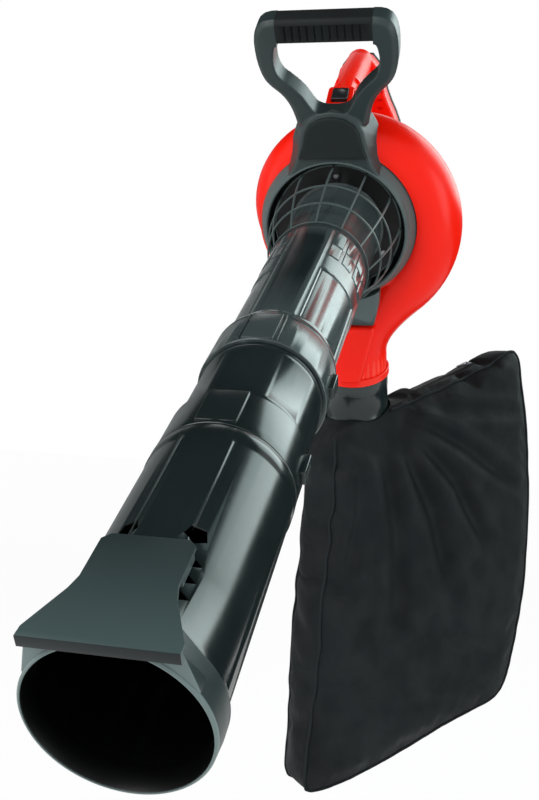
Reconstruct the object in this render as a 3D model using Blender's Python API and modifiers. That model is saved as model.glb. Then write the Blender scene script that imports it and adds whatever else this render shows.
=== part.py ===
# Leaf blower vacuum, held as in use: the suction tube slopes down ahead of the
# user and the collecting bag hangs from the blower outlet behind it.
#
# Machine pieces are drawn in the tube's own frame, as seen from its mouth: X to
# the right, Y up from the tube, Z ahead along the tube to its mouth. Its origin
# lies on the tube's axis, in the front plane of the intake cover. Places along Z
# are called ahead.
# The bag is drawn in an upright frame of its own at the end of the outlet.

import math

import bmesh
import bpy
from mathutils import Matrix, Vector

# Posture
TUBE_SLOPE = math.radians(30)
GRIP_AHEAD = -0.180
GRIP_UP = 0.165

# General clearances, walls and facets
GAP = 0.0003
WELD = 0.00001
OVERLAP = 0.002
SHELL_WALL = 0.003
ROUND_STEPS = 32
MOTOR_STEPS = 24
SMALL_STEPS = 16
SHAFT_STEPS = 16
SCREW_STEPS = 8

# Suction tube
TUBE_WALL = 0.0025
SOCKET_WALL = 0.0035
SOCKET_DEPTH = 0.045
SOCKET_TAPER = 0.012
UPPER_TUBE_RADIUS = 0.0600
MIDDLE_TUBE_RADIUS = 0.0615
LOWER_TUBE_RADIUS = 0.0660
UPPER_TUBE_END = 0.450
LOWER_TUBE_START = 0.548
LOWER_TUBE_END = 0.842
ROOT_FLANGE_WIDTH = 0.0035
ROOT_FLANGE_DEPTH = 0.004

# Mouth ring with its hood, and the sliding plate
MOUTH_REACH = 0.022
MOUTH_AHEAD = LOWER_TUBE_END + MOUTH_REACH
MOUTH_WALL = 0.004
MOUTH_RING_DEPTH = 0.028
MOUTH_SEAT_DEPTH = 0.006
HOOD_UP = LOWER_TUBE_RADIUS + GAP + TUBE_WALL
HOOD_HALF_WIDTH = 0.052
HOOD_BACK_HALF_WIDTH = 0.041
HOOD_FOOT_UP = 0.033
PLATE_THICKNESS = 0.003
PLATE_LENGTH = 0.100
PLATE_HALF_WIDTH = 0.034
PLATE_FRONT_HALF_WIDTH = HOOD_HALF_WIDTH + 0.001
PLATE_WAIST_LENGTH = 0.046
PLATE_CORNER = 0.006
PLATE_LIP_DEPTH = 0.0085
PLATE_LIP_THICKNESS = 0.005
PLATE_TRAVEL = 0.035
PLATE_RAIL_LENGTH = 0.028
PLATE_RAIL_THICKNESS = 0.004
PLATE_RAIL_HALF_SPACING = 0.030
WINDOW_RADIUS = 0.0085
WINDOW_ANGLE = math.radians(25)
WINDOW_AHEAD = 0.744
NOTCH_RADIUS = 0.0075
NOTCH_ANGLE = math.radians(29)
NOTCH_AHEAD = 0.770
NOTCH_PITCH = 0.0165
NOTCH_COUNT = 3

# Sprung catches of the tube joints, on the right side
CATCH_LENGTH = 0.030
CATCH_WIDTH = 0.013
CATCH_PROUD = 0.0045
CATCH_TRAVEL = 0.0018
UPPER_CATCH_AHEAD = UPPER_TUBE_END - 0.029
LOWER_CATCH_AHEAD = LOWER_TUBE_START + 0.0195

# Intake cover: conical ring, dish and lower tab
COVER_FRONT_RADIUS = 0.0975
COVER_BACK_RADIUS = 0.1080
COVER_DEPTH = 0.025
COVER_WALL = 0.0028
COVER_RIM = 0.003
DISH_RADIUS = 0.088
DISH_FLOOR_AHEAD = -0.0215
TAB_TOP_UP = -0.080
TAB_BOTTOM_UP = -0.141
TAB_TOP_HALF_WIDTH = 0.048
TAB_BOTTOM_HALF_WIDTH = 0.039
TAB_FRONT_AHEAD = -0.002
TAB_KNEE_DROP = 0.030
TAB_KNEE_INSET = 0.002
COVER_SCREW_RADIUS = UPPER_TUBE_RADIUS + 0.012
COVER_SCREW_COUNT = 3

# Guard cage round the tube's root
GUARD_FOOT_RADIUS = 0.0865
GUARD_TOP_AHEAD = 0.130
GUARD_BULGE_POWER = 2.0
GUARD_RIBS = 12
GUARD_RIB_WIDTH = 0.0026
GUARD_RING_WIDTH = 0.0030
GUARD_RING_PLACES = (0.0, 0.46, 0.74, 1.0)
GUARD_WALL = 0.0022

# Blower housing: spiral of growing reach, then a swan neck down to the outlet
SCROLL_AHEAD = -0.066
SCROLL_START_ANGLE = math.radians(235)
SCROLL_END_ANGLE = math.radians(-50)
SCROLL_START_REACH = 0.1080
SCROLL_FULL_REACH = 0.1765
SCROLL_GROWTH_POWER = 1.1
SCROLL_START_SECTION = 0.034
SCROLL_SECTION = 0.046
SCROLL_SWELL_ANGLE = math.radians(65)
SCROLL_STATIONS = 20
SCROLL_BEVEL_RESOLUTION = 5
OUTLET_X = 0.011
OUTLET_SECTION = 0.049
OUTLET_NECK_START_UP = -0.215
OUTLET_END_UP = -0.250
OUTLET_NECK_STATIONS = 6
SCROLL_HANDLE = 0.050
OUTLET_HANDLE = 0.045
DRUM_RADIUS = 0.110
DRUM_BACK_AHEAD = -0.1135
INLET_RADIUS = 0.058
SHAFT_HOLE_RADIUS = 0.012
OUTLET_FLANGE_RADIUS = 0.0525
OUTLET_FLANGE_DEPTH = 0.011

# Flat pad on the front of the outlet duct
PAD_TOP_UP = -0.146
PAD_BOTTOM_UP = -0.240
PAD_TOP_RIGHT = 0.052
PAD_TOP_LEFT = -0.030
PAD_BOTTOM_RIGHT = 0.028
PAD_BOTTOM_LEFT = -0.006
PAD_FRONT_AHEAD = -0.006
PAD_BEVEL = 0.003

# Pedestal of the main handle on the housing
PEDESTAL_HALF_WIDTH = 0.026
PEDESTAL_TOP_UP = 0.1485
PEDESTAL_BOTTOM_UP = 0.110
PEDESTAL_FRONT_AHEAD = -0.048
PEDESTAL_BACK_AHEAD = -0.106

# Screws
SCREW_RADIUS = 0.002
SCREW_HOLE_RADIUS = 0.0023
SCREW_HEAD_RADIUS = 0.0042
SCREW_HEAD_HEIGHT = 0.0026
BOSS_RADIUS = 0.0065
BOSS_HALF_DEPTH = 0.009
BOSS_OFFSET = 0.0048
BOSS_SCROLL_ANGLE = math.radians(104)
BOSS_WEB_LEFT = -0.030
BOSS_WEB_RIGHT = 0.005
BOSS_WEB_TOP_UP = -0.105
BOSS_WEB_BOTTOM_UP = -0.150
BOSS_WEB_SCREW = (-0.018, -0.122)
BOSS_DUCT_UP = -0.232
HOUSING_SCREW_LENGTH = 0.016

# Outlet collar and the ring sewn into the bag's mouth
COLLAR_RADIUS = 0.0505
COLLAR_WALL = 0.003
COLLAR_LENGTH = 0.070
COLLAR_SPIGOT_LENGTH = 0.016
MOUTH_RING_WALL = 0.0032
MOUTH_RING_HEIGHT = 0.008

# Front handle: D-frame that leans ahead, and the neck block under it
FRAME_LEAN = math.radians(18.8)
FRAME_PIVOT_UP = 0.150
FRAME_PIVOT_AHEAD = -0.0207
FRAME_DEPTH = 0.030
FRAME_BEVEL = 0.004
GRIP_BAR_RADIUS = 0.010
GRIP_BAR_UP = 0.1285
FRONT_GRIP_HALF_LENGTH = 0.059
FRONT_GRIP_HEIGHT = 0.030
FRONT_GRIP_DEPTH = 0.036
NECK_FRONT_AHEAD = 0.000
NECK_BACK_AHEAD = -0.046
PANEL_THICKNESS = 0.003

# Main handle, drawn in side view, and its rear web
HANDLE_HALF_WIDTH = 0.019
HANDLE_BEVEL = 0.006
HANDLE_UNDERSIDE_UP = 0.1488
WEB_FRONT_AHEAD = -0.254
WEB_BACK_AHEAD = -0.288
HANDLE_SCREW_PLACES = ((-0.108, 0.160), (-0.236, 0.168))
HANDLE_SCREW_LENGTH = 0.020
HANDLE_SCREW_SEAT_X = -0.012
INSERT_LENGTH = 0.104
INSERT_HALF_WIDTH = 0.013
INSERT_THICKNESS = 0.003
INSERT_AHEAD = -0.180

# Switch on the sloping front of the main handle
SWITCH_SLOPE = math.radians(22)
SWITCH_AHEAD = -0.0770
SWITCH_UP = 0.1610
SWITCH_FACE_LENGTH = 0.047
BEZEL_LENGTH = 0.040
BEZEL_WIDTH = 0.035
BEZEL_HEIGHT = 0.0045
SWITCH_LENGTH = 0.022
SWITCH_WIDTH = 0.024
SWITCH_HEIGHT = 0.0065
SWITCH_TRAVEL = 0.005
MODULE_LENGTH = 0.022
MODULE_WIDTH = 0.018
MODULE_HEIGHT = 0.007

# Motor housing and rear cover
MOTOR_HOUSING_FRONT_RADIUS = 0.082
MOTOR_HOUSING_BACK_RADIUS = 0.076
MOTOR_FLANGE_RADIUS = 0.096
MOTOR_FLANGE_DEPTH = 0.006
REAR_COVER_THICKNESS = 0.007
REAR_COVER_MARGIN = 0.0012
VENT_COUNT = 7
VENT_PITCH = 0.012
VENT_HEIGHT = 0.005
VENT_HALF_LENGTH = 0.048
INLET_GLAND_RADIUS = 0.009
INLET_GLAND_LENGTH = 0.014
CORD_BORE_RADIUS = 0.004
CORD_INLET_UP = 0.105

# Motor
CAN_RADIUS = 0.049
CAN_WALL = 0.0035
CAN_FRONT_AHEAD = DRUM_BACK_AHEAD - MOTOR_FLANGE_DEPTH - 2 * GAP
CAN_PLATE_THICKNESS = 0.005
BEARING_RADIUS = 0.013
BEARING_DEPTH = 0.009
BEARING_SEAT_WALL = 0.0025
BEARING_LIP_DEPTH = 0.002
BEARING_LIP_BORE = 0.008
SHAFT_RADIUS = 0.005
SHAFT_FRONT_AHEAD = -0.0335
STATOR_FRONT_AHEAD = CAN_FRONT_AHEAD - 0.034
STATOR_LENGTH = 0.054
STATOR_BORE_RADIUS = 0.0268
STATOR_SLOT_HALF_WIDTH = 0.022
STATOR_CUT_REACH = 0.1
STATOR_CUT_MARGIN = 0.05
ARMATURE_RADIUS = 0.026
ARMATURE_SLOTS = 10
ARMATURE_SLOT_WIDTH = 0.0034
ARMATURE_SLOT_FOOT = 0.0165
WINDING_RADIUS = 0.022
WINDING_DEPTH = 0.009
COIL_OUTER_RADIUS = 0.043
COIL_INNER_RADIUS = 0.030
COIL_DEPTH = 0.011
COIL_HALF_SPLIT = 0.006
COMMUTATOR_RADIUS = 0.014
COMMUTATOR_RISER_RADIUS = 0.0165
COMMUTATOR_LENGTH = 0.012
COMMUTATOR_FRONT_AHEAD = STATOR_FRONT_AHEAD - STATOR_LENGTH - 0.0115
BRUSH_AHEAD = COMMUTATOR_FRONT_AHEAD - 0.0075
BRUSH_HEIGHT = 0.010
BRUSH_DEPTH = 0.006
BRUSH_LENGTH = 0.016
BRUSH_HOLDER_WALL = 0.0015
BRUSH_HOLDER_START = 0.019
BRUSH_SPRING_WIRE = 0.0005
BRUSH_SPRING_RADIUS = 0.0022
BRUSH_SPRING_TURNS = 4
BRACKET_THICKNESS = 0.006

# Fans
COOLING_FAN_RADIUS = 0.040
COOLING_FAN_BACK_AHEAD = STATOR_FRONT_AHEAD + WINDING_DEPTH + 0.0025
COOLING_FAN_DEPTH = 0.009
COOLING_FAN_DISC = 0.002
COOLING_BLADES = 9
IMPELLER_RADIUS = 0.088
IMPELLER_BACK_AHEAD = -0.1055
IMPELLER_DISC_THICKNESS = 0.003
IMPELLER_HUB_RADIUS = 0.017
IMPELLER_HUB_DEPTH = 0.041
IMPELLER_BLADES = 8
IMPELLER_BLADE_HEIGHT = 0.044
IMPELLER_BLADE_THICKNESS = 0.0025
IMPELLER_BLADE_INNER = 0.022
BLADE_SWEEP = math.radians(18)
SPACER_RADIUS = 0.010
CHOPPER_BACK_AHEAD = -0.0452
CHOPPER_THICKNESS = 0.0025
CHOPPER_HALF_LENGTH = 0.050
CHOPPER_HALF_WIDTH = 0.009
NUT_RADIUS = 0.0085
NUT_HEIGHT = 0.0065

# Bag, in its upright frame at the end of the outlet collar
BAG_HEADING = math.radians(35)
BAG_HALF_THICKNESS = 0.060
BAG_EDGE_HALF_THICKNESS = 0.030
BAG_CUFF_OVERLAP = 0.012
BAG_CUFF_DEPTH = 0.030
MOUTH_RING_GROWTH = 0.0
ZIP_START = 0.105
ZIP_START_UP = 0.036
ZIP_RISE = math.radians(25)
ZIP_LENGTH = 0.118
ZIP_WIDTH = 0.010
ZIP_THICKNESS = 0.002
SLIDER_LENGTH = 0.010
SLIDER_WIDTH = 0.009
SLIDER_HEIGHT = 0.0035
PULL_LENGTH = 0.022
PULL_WIDTH = 0.006
PULL_THICKNESS = 0.0012
PULL_EYE_HEIGHT = 0.0009

# Outlines, as (X, up) half outlines of symmetric shapes or (ahead, up) sides
FRAME_OUTER = ((0.060, 0.141), (0.073, 0.140), (0.083, 0.134), (0.088, 0.122), (0.0895, 0.105),
               (0.088, 0.082), (0.083, 0.063), (0.075, 0.052), (0.062, 0.040), (0.053, 0.024),
               (0.048, 0.004), (0.046, -0.010))
FRAME_INNER = ((0.060, 0.107), (0.0645, 0.098), (0.0665, 0.084), (0.062, 0.067), (0.048, 0.055),
               (0.035, 0.041), (0.027, 0.026), (0.021, 0.016), (0.010, 0.012))
NECK_FRONT = ((0.050, 0.076), (0.044, 0.118), (0.040, 0.136), (0.033, 0.150), (0.018, 0.160),
              (0.0, 0.163))
NECK_BACK = ((0.077, 0.076), (0.062, 0.118), (0.055, 0.138), (0.048, 0.151), (0.032, 0.158),
             (0.0, 0.1595))
PANEL_HALF = ((0.0455, 0.1015), (0.0385, 0.118), (0.0355, 0.134), (0.029, 0.145), (0.016, 0.153),
              (0.0, 0.1555))
HANDLE_SIDE = ((-0.050, 0.1488), (-0.050, 0.1632), (-0.0985, 0.1702), (-0.112, 0.1735),
               (-0.150, 0.1785), (-0.200, 0.1835), (-0.245, 0.1870), (-0.270, 0.186),
               (-0.283, 0.176), (-0.288, 0.158), (-0.288, 0.062), (-0.244, 0.062),
               (-0.238, 0.084), (-0.246, 0.108), (-0.250, 0.132), (-0.245, 0.142),
               (-0.232, 0.1488))
WEB_HALF = ((0.058, 0.040), (0.058, 0.069), (0.051, 0.090), (0.044, 0.106), (0.038, 0.123),
            (0.035, 0.142), (0.029, 0.160), (0.016, 0.176))
BAG_LEFT = ((-0.080, -0.602), (-0.084, -0.400), (-0.082, -0.200), (-0.074, -0.026))
BAG_RIGHT = ((0.290, -0.475), (0.350, -0.350), (0.352, -0.090), (0.290, 0.125))
BAG_BOTTOM = ((-0.080, -0.602), (0.020, -0.602), (0.150, -0.515), (0.290, -0.475))
BAG_TOP = ((-0.074, -0.026), (0.060, 0.010), (0.110, 0.048), (0.290, 0.125))

PARTS = bpy.data.collections.new("leaf_blower_vacuum")
CUTTERS = bpy.data.collections.new("leaf_blower_cutters")


def polar(radius, angle):
    return radius * math.cos(angle), radius * math.sin(angle)


def mixed(start, end, share):
    return start + (end - start) * share


# Materials

def plastic(name, colour, roughness, metallic=0.0):
    material = bpy.data.materials.new(name)
    material.use_nodes = True
    shader = material.node_tree.nodes["Principled BSDF"]
    shader.inputs["Base Color"].default_value = (*colour, 1.0)
    shader.inputs["Roughness"].default_value = roughness
    shader.inputs["Metallic"].default_value = metallic
    return material


BLACK_PLASTIC = plastic("black_plastic", (0.035, 0.042, 0.042), 0.38)
DARK_PANEL = plastic("dark_panel", (0.018, 0.022, 0.022), 0.60)
SOFT_GRIP = plastic("soft_grip", (0.022, 0.024, 0.025), 0.75)
RED_PLASTIC = plastic("red_plastic", (0.80, 0.035, 0.018), 0.32)
SWITCH_BLACK = plastic("switch_black", (0.030, 0.032, 0.045), 0.35)
NATURAL_NYLON = plastic("natural_nylon", (0.12, 0.12, 0.12), 0.50)
BAG_CLOTH = plastic("bag_cloth", (0.014, 0.016, 0.017), 0.90)
ZIP_NYLON = plastic("zip_nylon", (0.020, 0.022, 0.023), 0.55)
STEEL = plastic("steel", (0.55, 0.56, 0.58), 0.30, 1.0)
LAMINATION = plastic("lamination", (0.30, 0.31, 0.33), 0.45, 1.0)
COPPER = plastic("copper", (0.80, 0.36, 0.18), 0.35, 1.0)
CARBON = plastic("carbon", (0.05, 0.05, 0.055), 0.70)
ZINC = plastic("zinc", (0.25, 0.26, 0.27), 0.35, 1.0)


# Frames

def frame_empty(name, matrix):
    empty = bpy.data.objects.new(name, None)
    PARTS.objects.link(empty)
    empty.matrix_world = matrix
    return empty


def machine_matrix():
    turn = Matrix.Rotation(math.radians(90) + TUBE_SLOPE, 4, "X")
    grip = turn @ Vector((0.0, GRIP_UP, GRIP_AHEAD))
    return Matrix.Translation(-grip) @ turn


def bag_matrix(machine):
    rim = machine @ Vector((OUTLET_X, OUTLET_END_UP - GAP - COLLAR_LENGTH, SCROLL_AHEAD))
    return Matrix.Translation(rim) @ Matrix.Rotation(BAG_HEADING, 4, "Z")


# Building blocks

def add_object(name, mesh, place=Matrix(), cutter=False):
    thing = bpy.data.objects.new(name, mesh)
    collection = CUTTERS if cutter else PARTS
    collection.objects.link(thing)
    thing.parent = MACHINE
    thing.matrix_basis = place
    if cutter:
        thing.hide_render = True
        thing.display_type = "WIRE"
    return thing


def finish(thing, name, material):
    """Names a finished piece, gives it its material and smooth round faces."""
    thing.name = name
    thing.data.name = name
    thing.data.materials.clear()
    thing.data.materials.append(material)
    thing.data.shade_smooth()
    thing.data.set_sharp_from_angle(angle=math.radians(35))
    return thing


def baked(thing, cutter=False):
    """Turns an object and its modifiers into a plain mesh object."""
    bpy.context.view_layer.update()
    depsgraph = bpy.context.evaluated_depsgraph_get()
    mesh = bpy.data.meshes.new_from_object(thing.evaluated_get(depsgraph))
    solid = add_object(thing.name + "_solid", mesh, thing.matrix_basis.copy(), cutter)
    solid.parent = thing.parent
    bpy.data.objects.remove(thing)
    return solid


def welded(thing):
    """Bakes a curve and welds its loose caps to its sides."""
    solid = baked(thing)
    cage = bmesh.new()
    cage.from_mesh(solid.data)
    bmesh.ops.remove_doubles(cage, verts=cage.verts, dist=WELD)
    bmesh.ops.recalc_face_normals(cage, faces=cage.faces)
    cage.to_mesh(solid.data)
    cage.free()
    return solid


def as_cutter(thing):
    PARTS.objects.unlink(thing)
    CUTTERS.objects.link(thing)
    thing.hide_render = True
    thing.display_type = "WIRE"
    return thing


def boolean(thing, operation, other):
    if other.name not in CUTTERS.objects:
        as_cutter(other)
    modifier = thing.modifiers.new(operation.lower() + "_" + other.name, "BOOLEAN")
    modifier.operation = operation
    modifier.object = other
    modifier.solver = "EXACT"
    return thing


def cut(thing, *cutters):
    for cutter in cutters:
        boolean(thing, "DIFFERENCE", cutter)
    return thing


def join(thing, *others):
    for other in others:
        boolean(thing, "UNION", other)
    return thing


def turned(name, profile, place=Matrix(), steps=ROUND_STEPS, closed=True):
    """A body of revolution about Z. The profile (radius, ahead) runs down its outer side."""
    cage = bmesh.new()
    corners = [cage.verts.new((radius, 0.0, ahead)) for radius, ahead in profile]
    for first, second in zip(corners, corners[1:]):
        cage.edges.new((first, second))
    if closed:
        cage.edges.new((corners[-1], corners[0]))
    mesh = bpy.data.meshes.new(name)
    cage.to_mesh(mesh)
    cage.free()
    thing = add_object(name, mesh, place)
    screw = thing.modifiers.new("turn", "SCREW")
    screw.steps = steps
    screw.render_steps = steps
    screw.use_merge_vertices = True
    screw.merge_threshold = WELD
    return thing


def solid_profile(pairs):
    """Profile of a solid turned piece, from its top centre to its bottom centre."""
    return ((0.0, pairs[0][1]),) + tuple(pairs) + ((0.0, pairs[-1][1]),)


def cylinder(name, radius, low, high, place=Matrix(), steps=SMALL_STEPS):
    """A round bar from low to high along the Z of its place."""
    mesh = bpy.data.meshes.new(name)
    cage = bmesh.new()
    middle = Matrix.Translation((0.0, 0.0, (low + high) / 2))
    bmesh.ops.create_cone(cage, cap_ends=True, segments=steps, radius1=radius, radius2=radius,
                          depth=high - low, matrix=middle)
    cage.to_mesh(mesh)
    cage.free()
    return add_object(name, mesh, place)


def block(name, low, high, place=Matrix(), bevel=0.0, segments=2):
    """A box between two corners, with rounded edges if a bevel is given."""
    size = [top - bottom for bottom, top in zip(low, high)]
    centre = [(top + bottom) / 2 for bottom, top in zip(low, high)]
    mesh = bpy.data.meshes.new(name)
    cage = bmesh.new()
    stretch = Matrix.Translation(centre) @ Matrix.Diagonal((*size, 1.0))
    bmesh.ops.create_cube(cage, size=1.0, matrix=stretch)
    cage.to_mesh(mesh)
    cage.free()
    thing = add_object(name, mesh, place)
    if bevel > 0.0:
        rounding = thing.modifiers.new("rounding", "BEVEL")
        rounding.width = bevel
        rounding.segments = segments
        rounding.limit_method = "ANGLE"
    return thing


def group_of(name, pieces):
    """Puts separate equal solids, such as a set of screws, into one object."""
    cage = bmesh.new()
    bpy.context.view_layer.update()
    depsgraph = bpy.context.evaluated_depsgraph_get()
    for piece in pieces:
        mesh = bpy.data.meshes.new_from_object(piece.evaluated_get(depsgraph))
        mesh.transform(piece.matrix_basis)
        cage.from_mesh(mesh)
        bpy.data.meshes.remove(mesh)
        bpy.data.objects.remove(piece)
    mesh = bpy.data.meshes.new(name)
    cage.to_mesh(mesh)
    cage.free()
    return add_object(name, mesh)


def flat_plate(name, outlines, low, high, place=Matrix(), bevel=0.0):
    """A flat outline in X and Y, with any holes, thickened from low to high along Z."""
    curve = bpy.data.curves.new(name, "CURVE")
    curve.dimensions = "2D"
    curve.fill_mode = "BOTH"
    curve.extrude = (high - low) / 2 - bevel
    curve.bevel_depth = bevel
    curve.bevel_resolution = 1
    curve.offset = -bevel
    for outline in outlines:
        spline = curve.splines.new("POLY")
        spline.points.add(len(outline) - 1)
        for point, (x, y) in zip(spline.points, outline):
            point.co = (x, y, 0.0, 1.0)
        spline.use_cyclic_u = True
    middle = Matrix.Translation((0.0, 0.0, (low + high) / 2))
    thing = add_object(name, curve, middle)
    solid = welded(thing)
    solid.data.transform(middle)
    solid.matrix_basis = place
    return solid


def swept_tube(name, stations, resolution):
    """A closed round body along stations of (centre, radius)."""
    curve = bpy.data.curves.new(name, "CURVE")
    curve.dimensions = "3D"
    curve.bevel_depth = 1.0
    curve.bevel_resolution = resolution
    curve.use_fill_caps = True
    spline = curve.splines.new("POLY")
    spline.points.add(len(stations) - 1)
    for point, (centre, radius) in zip(spline.points, stations):
        point.co = (*centre, 1.0)
        point.radius = radius
    return welded(add_object(name, curve))


def lofted(name, first_ring, last_ring):
    """A closed body between two rings of as many points each."""
    cage = bmesh.new()
    first = [cage.verts.new(point) for point in first_ring]
    last = [cage.verts.new(point) for point in last_ring]
    cage.faces.new(first)
    cage.faces.new(last)
    count = len(first)
    for index in range(count):
        following = (index + 1) % count
        cage.faces.new((first[index], first[following], last[following], last[index]))
    bmesh.ops.recalc_face_normals(cage, faces=cage.faces)
    mesh = bpy.data.meshes.new(name)
    cage.to_mesh(mesh)
    cage.free()
    return add_object(name, mesh)


def mirrored(half):
    """A closed outline from its right half, which runs from one end to the other."""
    left = [(-x, y) for x, y in reversed(half) if x > 0.0]
    return tuple(half) + tuple(left)


def screw_piece(name, place, length):
    """A round-headed screw whose head stands on the place's origin and Z."""
    profile = solid_profile(((SCREW_HEAD_RADIUS * 0.7, SCREW_HEAD_HEIGHT),
                             (SCREW_HEAD_RADIUS, SCREW_HEAD_HEIGHT * 0.5),
                             (SCREW_HEAD_RADIUS, 0.0), (SCREW_RADIUS, 0.0), (SCREW_RADIUS, -length)))
    return turned(name, profile, place, steps=SCREW_STEPS, closed=False)


# Suction tube

def tube_root_ahead():
    return DISH_FLOOR_AHEAD + GAP


def socket_radii():
    inner = MIDDLE_TUBE_RADIUS + GAP
    return inner, inner + SOCKET_WALL


def catch_pocket(name, ahead, radius):
    """Opening through a socket's wall for its catch, on the right side."""
    half_length = CATCH_LENGTH / 2 + GAP
    half_width = CATCH_WIDTH / 2 + GAP
    low = (radius - SOCKET_WALL * 2, -half_width, ahead - half_length)
    high = (radius + OVERLAP * 3, half_width, ahead + half_length)
    return block(name, low, high)


def make_upper_tube():
    inner, outer = socket_radii()
    bore = UPPER_TUBE_RADIUS - TUBE_WALL
    socket_start = UPPER_TUBE_END - SOCKET_DEPTH
    root = tube_root_ahead()
    profile = ((inner, UPPER_TUBE_END), (outer, UPPER_TUBE_END), (outer, socket_start - SOCKET_TAPER),
               (UPPER_TUBE_RADIUS, socket_start - 2 * SOCKET_TAPER),
               (UPPER_TUBE_RADIUS, root + ROOT_FLANGE_DEPTH),
               (UPPER_TUBE_RADIUS + ROOT_FLANGE_WIDTH, root + ROOT_FLANGE_DEPTH),
               (UPPER_TUBE_RADIUS + ROOT_FLANGE_WIDTH, root), (bore, root),
               (bore, socket_start), (inner, socket_start))
    tube = turned("upper_tube", profile)
    cut(tube, catch_pocket("upper_catch_pocket", UPPER_CATCH_AHEAD, outer))
    return finish(tube, "upper_tube", BLACK_PLASTIC)


def make_middle_tube():
    bore = MIDDLE_TUBE_RADIUS - TUBE_WALL
    start = UPPER_TUBE_END - SOCKET_DEPTH + GAP
    end = LOWER_TUBE_START + SOCKET_DEPTH - GAP
    profile = ((bore, end), (MIDDLE_TUBE_RADIUS, end), (MIDDLE_TUBE_RADIUS, start), (bore, start))
    return finish(turned("middle_tube", profile), "middle_tube", BLACK_PLASTIC)


def windows(name, count, radius, angle, first_ahead, pitch, sides):
    """Small openings through the lower tube on both sides of the plate."""
    cutters = []
    for side in (-1, 1):
        for index in range(count):
            turn = Matrix.Rotation(-side * angle, 4, "Z") @ Matrix.Rotation(math.radians(-90), 4, "X")
            place = Matrix.Translation((0.0, 0.0, first_ahead + index * pitch)) @ turn
            low = LOWER_TUBE_RADIUS - 0.012
            high = LOWER_TUBE_RADIUS + 0.006
            piece = cylinder(f"{name}_{side}_{index}", radius, low, high, place, sides)
            cutters.append(piece)
    return cutters


def make_lower_tube():
    inner, outer = socket_radii()
    bore = LOWER_TUBE_RADIUS - TUBE_WALL
    stop = LOWER_TUBE_START + SOCKET_DEPTH
    stop_radius = MIDDLE_TUBE_RADIUS - TUBE_WALL
    profile = ((bore, LOWER_TUBE_END), (LOWER_TUBE_RADIUS, LOWER_TUBE_END),
               (LOWER_TUBE_RADIUS, stop + SOCKET_TAPER), (outer, stop), (outer, LOWER_TUBE_START),
               (inner, LOWER_TUBE_START), (inner, stop), (stop_radius, stop),
               (stop_radius, stop + TUBE_WALL), (bore, stop + SOCKET_TAPER))
    tube = turned("lower_tube", profile)
    openings = windows("plate_window", 1, WINDOW_RADIUS, WINDOW_ANGLE, WINDOW_AHEAD, 0.0, 5)
    openings += windows("plate_notch", NOTCH_COUNT, NOTCH_RADIUS, NOTCH_ANGLE, NOTCH_AHEAD,
                        NOTCH_PITCH, 3)
    pocket = catch_pocket("lower_catch_pocket", LOWER_CATCH_AHEAD, outer)
    cut(tube, as_cutter(group_of("lower_tube_openings", openings)), pocket)
    return finish(tube, "lower_tube", BLACK_PLASTIC)


def make_catch(name, ahead):
    """A press-in catch: it stands proud of the socket and clears the tube inside it."""
    outer = socket_radii()[1]
    base = MIDDLE_TUBE_RADIUS + GAP + CATCH_TRAVEL
    low = (base - outer, -CATCH_WIDTH / 2, -CATCH_LENGTH / 2)
    high = (CATCH_PROUD, CATCH_WIDTH / 2, CATCH_LENGTH / 2)
    place = Matrix.Translation((outer, 0.0, ahead))
    catch = block(name, low, high, place, bevel=0.0012)
    return finish(catch, name, BLACK_PLASTIC)


# Mouth ring and sliding plate

def make_nozzle_ring():
    seat = LOWER_TUBE_RADIUS + GAP
    outer = LOWER_TUBE_RADIUS - TUBE_WALL + MOUTH_WALL
    bore = LOWER_TUBE_RADIUS - TUBE_WALL
    back = MOUTH_AHEAD - MOUTH_RING_DEPTH
    skirt = seat + TUBE_WALL
    step = LOWER_TUBE_END + GAP
    profile = ((bore, MOUTH_AHEAD), (outer, MOUTH_AHEAD), (skirt, step + MOUTH_SEAT_DEPTH),
               (skirt, back), (seat, back), (seat, step), (bore, step))
    ring = turned("nozzle_ring", profile)
    hood_front = MOUTH_AHEAD - OVERLAP
    foot_half_width = math.sqrt(skirt ** 2 - HOOD_FOOT_UP ** 2) - 0.0005
    ends = []
    for half_width, ahead in ((HOOD_BACK_HALF_WIDTH, back), (HOOD_HALF_WIDTH, hood_front)):
        outline = mirrored(((half_width, HOOD_UP), (foot_half_width, HOOD_FOOT_UP)))
        ends.append([(x, y, ahead) for x, y in outline])
    hood = lofted("hood", *ends)
    bore_clearance = cylinder("hood_bore", seat, back - OVERLAP, step, steps=ROUND_STEPS)
    mouth_clearance = cylinder("hood_mouth", bore, step - OVERLAP, MOUTH_AHEAD + OVERLAP,
                               steps=ROUND_STEPS)
    hood = baked(cut(hood, bore_clearance, mouth_clearance))
    join(ring, hood)
    return finish(ring, "nozzle_ring", BLACK_PLASTIC)


def plate_outline():
    """Half outline of the plate, from its rear corner to its flared front corner."""
    back = MOUTH_AHEAD - PLATE_LENGTH
    waist = back + PLATE_WAIST_LENGTH
    return ((PLATE_HALF_WIDTH - PLATE_CORNER, back), (PLATE_HALF_WIDTH, back + PLATE_CORNER),
            (PLATE_HALF_WIDTH, waist), (PLATE_HALF_WIDTH + 0.003, waist + 0.012),
            (PLATE_FRONT_HALF_WIDTH, MOUTH_AHEAD - 0.004),
            (PLATE_FRONT_HALF_WIDTH, MOUTH_AHEAD + PLATE_LIP_THICKNESS))


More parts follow.
